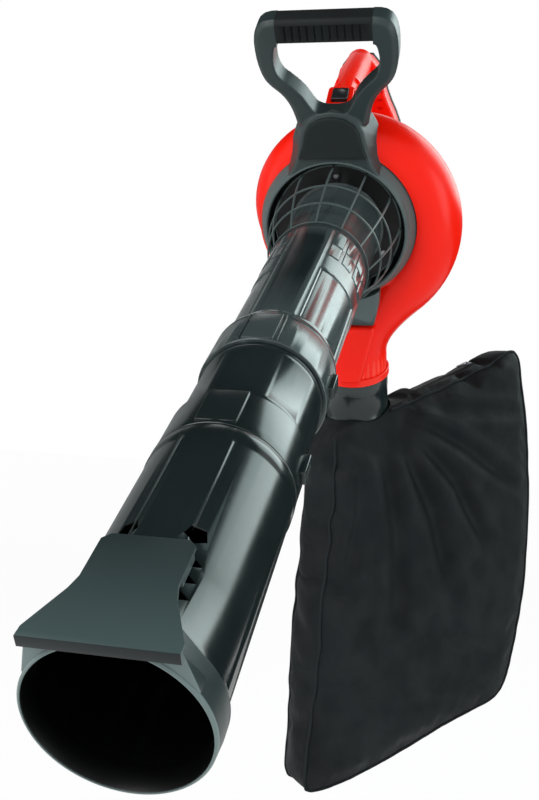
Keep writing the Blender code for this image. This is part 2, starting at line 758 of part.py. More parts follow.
def make_scraper_plate():
    """The plate's outline is drawn in X and ahead, so it is laid down about X."""
    low = HOOD_UP + GAP
    lay_down = Matrix.Rotation(math.radians(90), 4, "X")
    outline = mirrored(plate_outline())
    plate = flat_plate("scraper_plate", [outline], -low - PLATE_THICKNESS, -low, lay_down)
    top = low + PLATE_THICKNESS
    lip_front = MOUTH_AHEAD + PLATE_LIP_THICKNESS
    lip = block("plate_lip", (-PLATE_FRONT_HALF_WIDTH, top - PLATE_LIP_DEPTH, MOUTH_AHEAD + GAP),
                (PLATE_FRONT_HALF_WIDTH, top, lip_front))
    inner_x = PLATE_RAIL_HALF_SPACING - PLATE_RAIL_THICKNESS / 2
    rail_low = math.sqrt(LOWER_TUBE_RADIUS ** 2 - inner_x ** 2) + GAP
    rail_back = MOUTH_AHEAD - PLATE_LENGTH + PLATE_CORNER
    parts = [lip]
    for side in (-1, 1):
        centre = side * PLATE_RAIL_HALF_SPACING
        rail = block(f"plate_rail_{side}", (centre - PLATE_RAIL_THICKNESS / 2, rail_low, rail_back),
                     (centre + PLATE_RAIL_THICKNESS / 2, low + PLATE_THICKNESS / 2,
                      rail_back + PLATE_RAIL_LENGTH))
        parts.append(rail)
    join(plate, *parts)
    return finish(plate, "scraper_plate", BLACK_PLASTIC)


# Intake cover and guard

def cover_profile():
    back = -COVER_DEPTH
    rim_inner = COVER_FRONT_RADIUS - COVER_RIM
    return ((rim_inner, 0.0), (COVER_FRONT_RADIUS, 0.0), (COVER_BACK_RADIUS, back),
            (COVER_BACK_RADIUS - COVER_WALL, back), (COVER_FRONT_RADIUS - 0.0015, -COVER_RIM * 1.4),
            (DISH_RADIUS + COVER_WALL, back), (INLET_RADIUS, back), (INLET_RADIUS, DISH_FLOOR_AHEAD),
            (DISH_RADIUS, DISH_FLOOR_AHEAD))


def cover_screw_places(ahead):
    places = []
    for index in range(COVER_SCREW_COUNT):
        angle = math.radians(90) + index * math.tau / COVER_SCREW_COUNT
        x, y = polar(COVER_SCREW_RADIUS, angle)
        places.append(Matrix.Translation((x, y, ahead)))
    return places


def screw_holes(name, places, low, high):
    holes = [cylinder(f"{name}_{index}", SCREW_HOLE_RADIUS, low, high, place, 12)
             for index, place in enumerate(places)]
    return as_cutter(group_of(name, holes))


def make_intake_cover():
    cover = turned("intake_cover", cover_profile())
    half = ((TAB_TOP_HALF_WIDTH, TAB_TOP_UP), (TAB_TOP_HALF_WIDTH - TAB_KNEE_INSET, TAB_TOP_UP - TAB_KNEE_DROP),
            (TAB_BOTTOM_HALF_WIDTH, TAB_BOTTOM_UP))
    outline = [(x + OUTLET_X, y) for x, y in mirrored(half)]
    tab = flat_plate("cover_tab", [outline], -COVER_DEPTH, TAB_FRONT_AHEAD)
    clearance = cylinder("tab_clearance", COVER_BACK_RADIUS - COVER_WALL, -COVER_DEPTH - OVERLAP,
                         OVERLAP, steps=ROUND_STEPS)
    tab = baked(cut(tab, clearance, scroll_solid("tab_scroll_space", GAP, OUTLET_END_UP)))
    holes = screw_holes("cover_screw_holes", cover_screw_places(0.0), -COVER_DEPTH - OVERLAP, 0.0)
    join(cover, tab)
    cut(cover, holes)
    return finish(cover, "intake_cover", BLACK_PLASTIC)


def make_cover_screws():
    places = cover_screw_places(DISH_FLOOR_AHEAD + GAP)
    length = COVER_DEPTH + DISH_FLOOR_AHEAD + SHELL_WALL
    for number, place in enumerate(places, 1):
        finish(screw_piece("screw", place, length), f"cover_screw_{number}", ZINC)


def guard_radius(share):
    """Bell shape of the cage, from its foot in the dish to its throat on the tube."""
    throat = UPPER_TUBE_RADIUS + GUARD_WALL / 2 + 3 * GAP
    return mixed(GUARD_FOOT_RADIUS, throat, share ** GUARD_BULGE_POWER)


def make_intake_guard():
    foot = DISH_FLOOR_AHEAD + GAP
    height = GUARD_TOP_AHEAD - foot
    half_ring = GUARD_RING_WIDTH / 2 / height
    shares = []
    for place in GUARD_RING_PLACES:
        shares += [max(0.0, place - half_ring), min(1.0, place + half_ring)]
    cage = bmesh.new()
    corners = [cage.verts.new((guard_radius(share), 0.0, foot + share * height)) for share in shares]
    edges = [cage.edges.new(pair) for pair in zip(corners, corners[1:])]
    pitch = math.tau / GUARD_RIBS
    rib_angle = GUARD_RIB_WIDTH / GUARD_FOOT_RADIUS
    windows_to_clear = []
    for index in range(GUARD_RIBS):
        for angle, steps, is_window in ((rib_angle, 1, False), (pitch - rib_angle, 2, True)):
            before = set(cage.faces)
            last = bmesh.ops.spin(cage, geom=edges, cent=(0.0, 0.0, 0.0), axis=(0.0, 0.0, 1.0),
                                  angle=angle, steps=steps)["geom_last"]
            edges = [item for item in last if isinstance(item, bmesh.types.BMEdge)]
            if is_window:
                windows_to_clear += [face for face in cage.faces if face not in before]
    gaps = []
    for face in windows_to_clear:
        share = (face.calc_center_median().z - foot) / height
        on_ring = any(abs(share - place) < half_ring * 1.05 for place in GUARD_RING_PLACES)
        if not on_ring:
            gaps.append(face)
    bmesh.ops.delete(cage, geom=gaps, context="FACES_ONLY")
    bmesh.ops.remove_doubles(cage, verts=cage.verts, dist=WELD)
    bmesh.ops.recalc_face_normals(cage, faces=cage.faces)
    mesh = bpy.data.meshes.new("intake_guard")
    cage.to_mesh(mesh)
    cage.free()
    guard = add_object("intake_guard", mesh)
    wall = guard.modifiers.new("wall", "SOLIDIFY")
    wall.thickness = GUARD_WALL
    wall.offset = 0.0
    return finish(guard, "intake_guard", BLACK_PLASTIC)


# Blower housing

def scroll_reach(turned_by):
    """Distance of the scroll's outside from the axis, which grows on its way round."""
    share = turned_by / (SCROLL_START_ANGLE - SCROLL_END_ANGLE)
    return mixed(SCROLL_START_REACH, SCROLL_FULL_REACH, 1.0 - (1.0 - share) ** SCROLL_GROWTH_POWER)


def scroll_stations(clearance, end_up):
    """Centres and radii of the housing's round section, from the tongue to the outlet."""
    stations = []
    sweep = SCROLL_START_ANGLE - SCROLL_END_ANGLE
    for index in range(SCROLL_STATIONS + 1):
        turned_by = sweep * index / SCROLL_STATIONS
        angle = SCROLL_START_ANGLE - turned_by
        swell = min(1.0, turned_by / SCROLL_SWELL_ANGLE)
        section = mixed(SCROLL_START_SECTION, SCROLL_SECTION, swell)
        reach = scroll_reach(turned_by)
        x, y = polar(reach - section, angle)
        stations.append((Vector((x, y, SCROLL_AHEAD)), section + clearance))
    start = stations[-1][0]
    end = Vector((OUTLET_X, OUTLET_NECK_START_UP, SCROLL_AHEAD))
    leave = Vector((math.sin(SCROLL_END_ANGLE), -math.cos(SCROLL_END_ANGLE), 0.0))
    first = start + leave * SCROLL_HANDLE
    second = end + Vector((0.0, OUTLET_HANDLE, 0.0))
    for index in range(1, OUTLET_NECK_STATIONS + 1):
        share = index / OUTLET_NECK_STATIONS
        rest = 1.0 - share
        centre = (start * rest ** 3 + first * 3 * rest ** 2 * share + second * 3 * rest * share ** 2
                  + end * share ** 3)
        stations.append((centre, mixed(SCROLL_SECTION, OUTLET_SECTION, share) + clearance))
    stations.append((Vector((OUTLET_X, end_up, SCROLL_AHEAD)), OUTLET_SECTION + clearance))
    return stations


def boss_places():
    """Centres of the screws: above the scroll, in the web of its tongue and beside the duct."""
    reach = scroll_reach(SCROLL_START_ANGLE - BOSS_SCROLL_ANGLE)
    return [polar(reach + BOSS_OFFSET, BOSS_SCROLL_ANGLE), BOSS_WEB_SCREW,
            (OUTLET_X - OUTLET_SECTION - BOSS_OFFSET, BOSS_DUCT_UP)]


def scroll_solid(name, clearance, end_up):
    return swept_tube(name, scroll_stations(clearance, end_up), SCROLL_BEVEL_RESOLUTION)


def drum_solid(name, clearance):
    return cylinder(name, DRUM_RADIUS + clearance, DRUM_BACK_AHEAD - clearance,
                    -COVER_DEPTH - GAP + clearance, steps=ROUND_STEPS)


def pedestal_solid(name, clearance):
    low = (-PEDESTAL_HALF_WIDTH - clearance, PEDESTAL_BOTTOM_UP, PEDESTAL_BACK_AHEAD - clearance)
    high = (PEDESTAL_HALF_WIDTH + clearance, PEDESTAL_TOP_UP + clearance,
            PEDESTAL_FRONT_AHEAD + clearance)
    return block(name, low, high)


def outlet_place():
    """Frame on the outlet's axis whose Z points down out of the outlet."""
    turn = Matrix.Rotation(math.radians(90), 4, "X")
    return Matrix.Translation((OUTLET_X, OUTLET_END_UP, SCROLL_AHEAD)) @ turn


def housing_bosses(name, radius, half_depth):
    pieces = [cylinder(f"{name}_{index}", radius, SCROLL_AHEAD - half_depth, SCROLL_AHEAD + half_depth,
                       Matrix.Translation((x, y, 0.0)), 12)
              for index, (x, y) in enumerate(boss_places())]
    return group_of(name, pieces)


def housing_solid():
    """The whole housing as one hollow body, before it is parted into two shells."""
    outer = scroll_solid("scroll_outer", 0.0, OUTLET_END_UP)
    flange = cylinder("outlet_flange", OUTLET_FLANGE_RADIUS, -OUTLET_FLANGE_DEPTH, 0.0,
                      outlet_place(), ROUND_STEPS)
    pad_outline = ((PAD_TOP_RIGHT, PAD_TOP_UP), (PAD_BOTTOM_RIGHT, PAD_BOTTOM_UP),
                   (PAD_BOTTOM_LEFT, PAD_BOTTOM_UP), (PAD_TOP_LEFT, PAD_TOP_UP))
    pad = flat_plate("outlet_pad", [pad_outline], SCROLL_AHEAD + 0.004, PAD_FRONT_AHEAD,
                     bevel=PAD_BEVEL)
    tongue_web = block("tongue_web", (BOSS_WEB_LEFT, BOSS_WEB_BOTTOM_UP, SCROLL_AHEAD - BOSS_HALF_DEPTH),
                       (BOSS_WEB_RIGHT, BOSS_WEB_TOP_UP, SCROLL_AHEAD + BOSS_HALF_DEPTH))
    join(outer, drum_solid("drum_outer", 0.0), flange, pad, pedestal_solid("pedestal", 0.0),
         tongue_web, housing_bosses("housing_bosses", BOSS_RADIUS, BOSS_HALF_DEPTH))
    seat = cylinder("cover_seat", COVER_BACK_RADIUS + GAP * 2, -COVER_DEPTH - GAP, OVERLAP,
                    steps=ROUND_STEPS)
    inner = scroll_solid("scroll_inner", -SHELL_WALL, OUTLET_END_UP - 0.010)
    inner_drum = drum_solid("drum_inner", -SHELL_WALL)
    inlet = cylinder("inlet_hole", INLET_RADIUS, -COVER_DEPTH - 0.008, -COVER_DEPTH + 0.008,
                     steps=ROUND_STEPS)
    shaft_hole = cylinder("shaft_hole", SHAFT_HOLE_RADIUS, DRUM_BACK_AHEAD - OVERLAP,
                          DRUM_BACK_AHEAD + 0.008, steps=SMALL_STEPS)
    cover_holes = screw_holes("shell_cover_holes", cover_screw_places(0.0), -COVER_DEPTH - 0.006,
                              -COVER_DEPTH + 0.004)
    boss_holes = housing_bosses("boss_holes", SCREW_HOLE_RADIUS, BOSS_HALF_DEPTH + OVERLAP)
    spigot_seat = cylinder("spigot_seat", OUTLET_SECTION - SHELL_WALL,
                           -COLLAR_SPIGOT_LENGTH - GAP, OVERLAP, outlet_place(), ROUND_STEPS)
    cut(outer, seat, inner, inner_drum, inlet, shaft_hole, cover_holes, boss_holes, spigot_seat)
    return baked(outer)


def make_volute_shells():
    hollow = housing_solid()
    reach = 0.4
    for name, direction in (("volute_front_shell", 1), ("volute_rear_shell", -1)):
        shell = add_object(name, hollow.data.copy())
        low_ahead, high_ahead = sorted((SCROLL_AHEAD + direction * GAP / 2,
                                        SCROLL_AHEAD - direction * reach))
        other_half = block(name + "_other_half", (-reach, -reach, low_ahead), (reach, reach, high_ahead))
        cut(shell, other_half)
        finish(shell, name, RED_PLASTIC)
    bpy.data.objects.remove(hollow)


def make_housing_screws():
    head_ahead = SCROLL_AHEAD - BOSS_HALF_DEPTH - GAP
    turn = Matrix.Rotation(math.radians(180), 4, "X")
    for number, (x, y) in enumerate(boss_places(), 1):
        place = Matrix.Translation((x, y, head_ahead)) @ turn
        finish(screw_piece("screw", place, HOUSING_SCREW_LENGTH), f"housing_screw_{number}", ZINC)


def make_outlet_collar():
    spigot = OUTLET_SECTION - SHELL_WALL - GAP
    bore = spigot - COLLAR_WALL
    barrel_bore = COLLAR_RADIUS - COLLAR_WALL
    end = GAP + COLLAR_LENGTH
    profile = ((barrel_bore, end), (COLLAR_RADIUS, end), (COLLAR_RADIUS, GAP), (spigot, GAP),
               (spigot, -COLLAR_SPIGOT_LENGTH), (bore, -COLLAR_SPIGOT_LENGTH), (bore, COLLAR_WALL),
               (barrel_bore, COLLAR_WALL * 2))
    # The place's Z points down, so the profile's top is the lower rim
    collar = turned("outlet_collar", profile, outlet_place())
    return finish(collar, "outlet_collar", BLACK_PLASTIC)


# Front handle

def neck_solid():
    front = [(x, y, NECK_FRONT_AHEAD) for x, y in mirrored(NECK_FRONT)]
    back = [(x, y, NECK_BACK_AHEAD) for x, y in mirrored(NECK_BACK)]
    return lofted("neck_block", front, back)


def frame_place():
    return Matrix.Translation((0.0, FRAME_PIVOT_UP, FRAME_PIVOT_AHEAD)) @ Matrix.Rotation(
        FRAME_LEAN, 4, "X")


def make_front_handle():
    outer = mirrored(FRAME_OUTER)
    inner = mirrored(FRAME_INNER)
    handle = flat_plate("front_handle", [outer, inner], -FRAME_DEPTH / 2, FRAME_DEPTH / 2,
                        frame_place(), FRAME_BEVEL)
    grip_half = FRONT_GRIP_HALF_LENGTH + GAP
    grip_space = block("front_grip_space", (-grip_half, GRIP_BAR_UP - 0.030, -FRAME_DEPTH),
                       (grip_half, GRIP_BAR_UP + 0.030, FRAME_DEPTH), frame_place())
    lay_right = frame_place() @ Matrix.Translation((0.0, GRIP_BAR_UP, 0.0)) @ Matrix.Rotation(
        math.radians(90), 4, "Y")
    bar = cylinder("front_bar", GRIP_BAR_RADIUS, -grip_half - OVERLAP, grip_half + OVERLAP, lay_right)
    clearances = [scroll_solid("neck_scroll_space", GAP, OUTLET_END_UP), drum_solid("neck_drum_space", GAP),
                  pedestal_solid("neck_pedestal_space", GAP)]
    cone = turned("neck_cover_space",
                  solid_profile(((COVER_FRONT_RADIUS + GAP, 0.004),
                                 (COVER_FRONT_RADIUS + GAP, 0.0),
                                 (COVER_BACK_RADIUS + GAP, -COVER_DEPTH),
                                 (COVER_BACK_RADIUS + GAP, -COVER_DEPTH - 0.004))), closed=False)
    cut(handle, grip_space)
    join(handle, bar, neck_solid())
    cut(handle, cone, *clearances)
    return finish(handle, "front_handle", BLACK_PLASTIC)


def make_front_grip():
    half_height = FRONT_GRIP_HEIGHT / 2
    half_depth = FRONT_GRIP_DEPTH / 2
    place = frame_place() @ Matrix.Translation((0.0, GRIP_BAR_UP, 0.0))
    grip = block("front_grip", (-FRONT_GRIP_HALF_LENGTH, -half_height, -half_depth),
                 (FRONT_GRIP_HALF_LENGTH, half_height, half_depth), place, bevel=0.010, segments=3)
    bore = cylinder("front_grip_bore", GRIP_BAR_RADIUS + GAP, -0.1, 0.1,
                    place @ Matrix.Rotation(math.radians(90), 4, "Y"))
    cut(grip, bore)
    return finish(grip, "front_grip", SOFT_GRIP)


def make_neck_panel():
    low = NECK_FRONT_AHEAD + GAP
    panel = flat_plate("neck_panel", [mirrored(PANEL_HALF)], low, low + PANEL_THICKNESS, bevel=0.001)
    return finish(panel, "neck_panel", DARK_PANEL)


# Main handle and switch

def switch_place():
    """Frame on the sloping top: X right, Y back up the slope, Z out of the handle."""
    turn = Matrix.Rotation(SWITCH_SLOPE - math.radians(90), 4, "X")
    return Matrix.Translation((0.0, SWITCH_UP, SWITCH_AHEAD)) @ turn


def side_view_turn():
    """Turns a side view drawn as (ahead, up) into the handle's plane."""
    return Matrix(((0.0, 0.0, 1.0, 0.0), (0.0, 1.0, 0.0, 0.0), (1.0, 0.0, 0.0, 0.0),
                   (0.0, 0.0, 0.0, 1.0)))


def motor_housing_radius(ahead):
    front = DRUM_BACK_AHEAD - GAP - MOTOR_FLANGE_DEPTH
    share = (front - ahead) / (front - WEB_BACK_AHEAD)
    return mixed(MOTOR_HOUSING_FRONT_RADIUS, MOTOR_HOUSING_BACK_RADIUS, share)


def motor_space(name, clearance):
    front = DRUM_BACK_AHEAD - GAP - MOTOR_FLANGE_DEPTH
    back = WEB_BACK_AHEAD - 0.010
    profile = solid_profile(((motor_housing_radius(front) + clearance, front),
                             (motor_housing_radius(back) + clearance, back)))
    return turned(name, profile, closed=False)


def handle_screw_places():
    """Frames on the screw seats in the left half, with Z out to the left."""
    turn = Matrix.Rotation(math.radians(-90), 4, "Y")
    return [Matrix.Translation((HANDLE_SCREW_SEAT_X, up, ahead)) @ turn
            for ahead, up in HANDLE_SCREW_PLACES]


def handle_solid():
    """The whole main handle with its rear web, before it is parted into halves."""
    side = flat_plate("handle_side", [HANDLE_SIDE], -HANDLE_HALF_WIDTH, HANDLE_HALF_WIDTH,
                      side_view_turn(), HANDLE_BEVEL)
    web = flat_plate("handle_web", [mirrored(WEB_HALF)], WEB_BACK_AHEAD, WEB_FRONT_AHEAD, bevel=0.003)
    join(side, web)
    low = (-MODULE_WIDTH / 2 - GAP, -MODULE_LENGTH / 2 - GAP, -MODULE_HEIGHT - 2 * GAP)
    high = (MODULE_WIDTH / 2 + GAP, MODULE_LENGTH / 2 + GAP, OVERLAP)
    pocket = block("module_pocket", low, high, switch_place())
    holes = []
    for index, place in enumerate(handle_screw_places()):
        holes.append(cylinder(f"handle_hole_{index}", SCREW_HOLE_RADIUS, -HANDLE_SCREW_LENGTH - GAP,
                              OVERLAP, place, 12))
    wells = []
    for index, place in enumerate(handle_screw_places()):
        wells.append(cylinder(f"handle_well_{index}", SCREW_HEAD_RADIUS + GAP, 0.0,
                              HANDLE_HALF_WIDTH, place, 12))
    face_half = SWITCH_FACE_LENGTH / 2
    sloping_face = block("sloping_face", (-HANDLE_HALF_WIDTH * 2, -face_half * 2, 0.0),
                         (HANDLE_HALF_WIDTH * 2, face_half, HANDLE_HALF_WIDTH * 2), switch_place())
    cut(side, sloping_face, pocket, as_cutter(group_of("handle_holes", holes)),
        as_cutter(group_of("handle_wells", wells)), motor_space("handle_motor_space", GAP))
    return baked(side)


def make_main_handle():
    whole = handle_solid()
    reach = 0.4
    for name, side in (("main_handle_left", -1), ("main_handle_right", 1)):
        half = add_object(name, whole.data.copy(), whole.matrix_basis.copy())
        low_x, high_x = sorted((side * GAP / 2, -side * reach))
        other_half = block(name + "_other_half", (low_x, -reach, -reach), (high_x, reach, reach))
        cut(half, other_half)
        finish(half, name, RED_PLASTIC)
    bpy.data.objects.remove(whole)


def make_handle_screws():
    for number, place in enumerate(handle_screw_places(), 1):
        seated = place @ Matrix.Translation((0.0, 0.0, GAP))
        finish(screw_piece("screw", seated, HANDLE_SCREW_LENGTH), f"handle_screw_{number}", ZINC)


def make_grip_insert():
    low = (-INSERT_HALF_WIDTH, HANDLE_UNDERSIDE_UP - GAP - INSERT_THICKNESS,
           INSERT_AHEAD - INSERT_LENGTH / 2)
    high = (INSERT_HALF_WIDTH, HANDLE_UNDERSIDE_UP - GAP, INSERT_AHEAD + INSERT_LENGTH / 2)
    return finish(block("grip_insert", low, high, bevel=0.0012), "grip_insert", SOFT_GRIP)


def make_switch_bezel():
    bezel = block("switch_bezel", (-BEZEL_WIDTH / 2, -BEZEL_LENGTH / 2, GAP),
                  (BEZEL_WIDTH / 2, BEZEL_LENGTH / 2, BEZEL_HEIGHT), switch_place(), bevel=0.0015)
    half_width = SWITCH_WIDTH / 2 + GAP
    front = -SWITCH_LENGTH / 2 - SWITCH_TRAVEL / 2 - GAP
    window = block("bezel_window", (-half_width, front, -OVERLAP),
                   (half_width, -front, BEZEL_HEIGHT + OVERLAP), switch_place())
    cut(bezel, window)
    return finish(bezel, "switch_bezel", SWITCH_BLACK)


def make_power_switch():
    """The thumb switch, at its off end at the back of the window."""
    place = switch_place() @ Matrix.Translation((0.0, SWITCH_TRAVEL / 2, 0.0))
    switch = block("power_switch", (-SWITCH_WIDTH / 2, -SWITCH_LENGTH / 2, GAP),
                   (SWITCH_WIDTH / 2, SWITCH_LENGTH / 2, SWITCH_HEIGHT), place, bevel=0.0015)
    dish_radius = 0.020
    dish_centre = SWITCH_HEIGHT + dish_radius - 0.0022
    bowl = [(dish_radius * math.sin(turn), dish_centre - dish_radius * math.cos(turn))
            for turn in (math.radians(30), math.radians(20), math.radians(10))]
    dish = turned("thumb_dish", ((0.0, dish_centre), *bowl, (0.0, dish_centre - dish_radius)),
                  place, steps=SMALL_STEPS, closed=False)
    cut(switch, dish)
    return finish(switch, "power_switch", SWITCH_BLACK)


def make_switch_module():
    low = (-MODULE_WIDTH / 2, -MODULE_LENGTH / 2, -MODULE_HEIGHT - GAP)
    high = (MODULE_WIDTH / 2, MODULE_LENGTH / 2, -GAP)
    return finish(block("switch_module", low, high, switch_place()), "switch_module", NATURAL_NYLON)


# Motor housing, rear cover and cord inlet

def make_motor_housing():
    front = DRUM_BACK_AHEAD - GAP
    barrel = front - MOTOR_FLANGE_DEPTH
    back = WEB_BACK_AHEAD
    profile = ((SHAFT_HOLE_RADIUS, front), (MOTOR_FLANGE_RADIUS, front), (MOTOR_FLANGE_RADIUS, barrel),
               (motor_housing_radius(barrel), barrel), (motor_housing_radius(back), back),
               (motor_housing_radius(back) - SHELL_WALL, back),
               (motor_housing_radius(barrel) - SHELL_WALL, barrel), (SHAFT_HOLE_RADIUS, barrel))
    return finish(turned("motor_housing", profile), "motor_housing", RED_PLASTIC)


def rear_cover_outline():
    """Half outline: the motor's round back with the web of the handle above it."""
    radius = motor_housing_radius(WEB_BACK_AHEAD) + REAR_COVER_MARGIN
    web_edge = WEB_HALF[1][0] + REAR_COVER_MARGIN
    meeting = math.acos(web_edge / radius)
    start = math.radians(-90)
    steps = 15
    arc = [polar(radius, mixed(start, meeting, index / steps)) for index in range(1, steps + 1)]
    web = [(x + REAR_COVER_MARGIN, y) for x, y in WEB_HALF[1:]]
    return ((0.0, -radius), *arc, *web)


def make_rear_cover():
    back = WEB_BACK_AHEAD - GAP - REAR_COVER_THICKNESS
    cover = flat_plate("rear_cover", [mirrored(rear_cover_outline())], back, WEB_BACK_AHEAD - GAP,
                       bevel=0.0015)
    slots = []
    for index in range(VENT_COUNT):
        centre = (index - (VENT_COUNT - 1) / 2) * VENT_PITCH
        slots.append(block(f"vent_{index}", (-VENT_HALF_LENGTH, centre - VENT_HEIGHT / 2, back - OVERLAP),
                           (VENT_HALF_LENGTH, centre + VENT_HEIGHT / 2, WEB_BACK_AHEAD + OVERLAP)))
    spigot_hole = cylinder("cord_inlet_hole", INLET_GLAND_RADIUS * 0.65 + GAP, back - OVERLAP,
                           WEB_BACK_AHEAD, Matrix.Translation((0.0, CORD_INLET_UP, 0.0)))
    cut(cover, as_cutter(group_of("cover_vents", slots)), spigot_hole)
    return finish(cover, "rear_cover", BLACK_PLASTIC)


def make_cord_inlet():
    seat = WEB_BACK_AHEAD - 2 * GAP - REAR_COVER_THICKNESS
    spigot = INLET_GLAND_RADIUS * 0.65
    end = seat - INLET_GLAND_LENGTH
    profile = ((CORD_BORE_RADIUS, WEB_BACK_AHEAD - 2 * GAP), (spigot, WEB_BACK_AHEAD - 2 * GAP),
               (spigot, seat), (INLET_GLAND_RADIUS, seat), (INLET_GLAND_RADIUS, seat - 0.005),
               (INLET_GLAND_RADIUS * 0.75, end), (CORD_BORE_RADIUS, end))
    gland = turned("cord_inlet", profile, Matrix.Translation((0.0, CORD_INLET_UP, 0.0)),
                   steps=SMALL_STEPS)
    return finish(gland, "cord_inlet", BLACK_PLASTIC)


# Motor

def make_motor_can():
    seat = BEARING_RADIUS + GAP
    seat_depth = CAN_FRONT_AHEAD - BEARING_DEPTH - 2 * GAP
    boss = seat + BEARING_SEAT_WALL
    inner = CAN_RADIUS - CAN_WALL
    plate = CAN_FRONT_AHEAD - CAN_PLATE_THICKNESS
    profile = ((seat, CAN_FRONT_AHEAD), (CAN_RADIUS, CAN_FRONT_AHEAD), (CAN_RADIUS, can_back_ahead()),
               (inner, can_back_ahead()), (inner, plate), (boss, plate),
               (boss, seat_depth - BEARING_LIP_DEPTH), (BEARING_LIP_BORE, seat_depth - BEARING_LIP_DEPTH),
               (BEARING_LIP_BORE, seat_depth), (seat, seat_depth))
    return finish(turned("motor_can", profile, steps=MOTOR_STEPS), "motor_can", STEEL)


def bracket_front_ahead():
    return BRUSH_AHEAD - BRUSH_DEPTH / 2 - BRUSH_HOLDER_WALL - 2 * GAP


def can_back_ahead():
    return bracket_front_ahead() - BRACKET_THICKNESS - GAP


def make_rear_bracket():
    seat = BEARING_RADIUS + GAP
    front = bracket_front_ahead()
    seat_depth = front - BEARING_DEPTH - 2 * GAP
    back = front - BRACKET_THICKNESS
    boss = seat + BEARING_SEAT_WALL
    end = seat_depth - BEARING_LIP_DEPTH
    profile = ((seat, front), (CAN_RADIUS - CAN_WALL - GAP, front), (CAN_RADIUS - CAN_WALL - GAP, back),
               (boss, back), (boss, end), (BEARING_LIP_BORE, end), (BEARING_LIP_BORE, seat_depth),
               (seat, seat_depth))
    return finish(turned("rear_bracket", profile, steps=MOTOR_STEPS), "rear_bracket", LAMINATION)


def make_bearings():
    fronts = (("front_bearing", CAN_FRONT_AHEAD - GAP), ("rear_bearing", bracket_front_ahead() - GAP))
    for name, front in fronts:
        bore = SHAFT_RADIUS + GAP
        profile = ((bore, front), (BEARING_RADIUS, front), (BEARING_RADIUS, front - BEARING_DEPTH),
                   (bore, front - BEARING_DEPTH))
        finish(turned(name, profile, steps=SHAFT_STEPS), name, STEEL)


def coil_ring(name, inner, outer, clearance):
    front = STATOR_FRONT_AHEAD + COIL_DEPTH + clearance
    back = STATOR_FRONT_AHEAD - STATOR_LENGTH - COIL_DEPTH - clearance
    return turned(name, ((inner, front), (outer, front), (outer, back), (inner, back)),
                  steps=MOTOR_STEPS)


def make_stator():
    front = STATOR_FRONT_AHEAD
    back = front - STATOR_LENGTH
    outer = CAN_RADIUS - CAN_WALL - GAP
    core = turned("stator_core", ((STATOR_BORE_RADIUS, front), (outer, front), (outer, back),
                                  (STATOR_BORE_RADIUS, back)), steps=MOTOR_STEPS)
    slots = coil_ring("stator_slots", COIL_INNER_RADIUS - GAP, COIL_OUTER_RADIUS + GAP, 0.0)
    half = STATOR_SLOT_HALF_WIDTH - GAP
    poles = block("stator_poles", (-half, -STATOR_CUT_REACH, back - STATOR_CUT_MARGIN),
                  (half, STATOR_CUT_REACH, front + STATOR_CUT_MARGIN))
    slots = as_cutter(baked(cut(slots, poles)))
    cut(core, slots)
    return finish(core, "stator_core", LAMINATION)


def make_field_coils():
    front = STATOR_FRONT_AHEAD + GAP
    back = STATOR_FRONT_AHEAD - STATOR_LENGTH - GAP
    half = STATOR_SLOT_HALF_WIDTH
    for name, side in (("field_coil_upper", 1), ("field_coil_lower", -1)):
        coil = coil_ring(name, COIL_INNER_RADIUS, COIL_OUTER_RADIUS, 0.0)
        low_y, high_y = sorted((side * COIL_HALF_SPLIT, -side * STATOR_CUT_REACH))
        other = block(name + "_other_side", (-STATOR_CUT_REACH, low_y, back - STATOR_CUT_MARGIN),
                      (STATOR_CUT_REACH, high_y, front + STATOR_CUT_MARGIN))
        pole = block(name + "_pole", (-half, -STATOR_CUT_REACH, back), (half, STATOR_CUT_REACH, front))
        cut(coil, other, pole)
        finish(coil, name, COPPER)


def radial_places(count):
    return [Matrix.Rotation(index * math.tau / count, 4, "Z") for index in range(count)]


def make_armature():
    front = STATOR_FRONT_AHEAD
    back = front - STATOR_LENGTH
    bore = SHAFT_RADIUS + GAP
    core = turned("armature_core", ((bore, front), (ARMATURE_RADIUS, front), (ARMATURE_RADIUS, back),
                                    (bore, back)), steps=ARMATURE_SLOTS * 2)
    half = ARMATURE_SLOT_WIDTH / 2
    slots = [block(f"armature_slot_{index}", (ARMATURE_SLOT_FOOT, -half, back - OVERLAP),
                   (ARMATURE_RADIUS + OVERLAP, half, front + OVERLAP), place)
             for index, place in enumerate(radial_places(ARMATURE_SLOTS))]
    cut(core, as_cutter(group_of("armature_slots", slots)))
    finish(core, "armature_core", LAMINATION)

    inner = SHAFT_RADIUS + GAP
    low = front + GAP
    ends = []
    for name, start, end in (("front", low + WINDING_DEPTH, low),
                             ("back", back - GAP, back - GAP - WINDING_DEPTH)):
        ends.append(turned(f"winding_{name}", ((inner, start), (WINDING_RADIUS, start),
                                               (WINDING_RADIUS, end), (inner, end)),
                           steps=ARMATURE_SLOTS * 2))
    half -= GAP
    bars = [block(f"winding_bar_{index}", (ARMATURE_SLOT_FOOT + GAP, -half, back - OVERLAP),
                  (WINDING_RADIUS - 0.0005, half, front + OVERLAP), place)
            for index, place in enumerate(radial_places(ARMATURE_SLOTS))]
    windings = join(ends[0], ends[1], as_cutter(group_of("winding_bars", bars)))
    finish(windings, "armature_windings", COPPER)


def make_commutator():
    front = COMMUTATOR_FRONT_AHEAD
    bore = SHAFT_RADIUS + GAP
    riser = front - 0.002
    back = front - COMMUTATOR_LENGTH
    profile = ((bore, front), (COMMUTATOR_RISER_RADIUS, front), (COMMUTATOR_RISER_RADIUS, riser),
               (COMMUTATOR_RADIUS, riser), (COMMUTATOR_RADIUS, back), (bore, back))
    return finish(turned("commutator", profile, steps=SHAFT_STEPS), "commutator", COPPER)


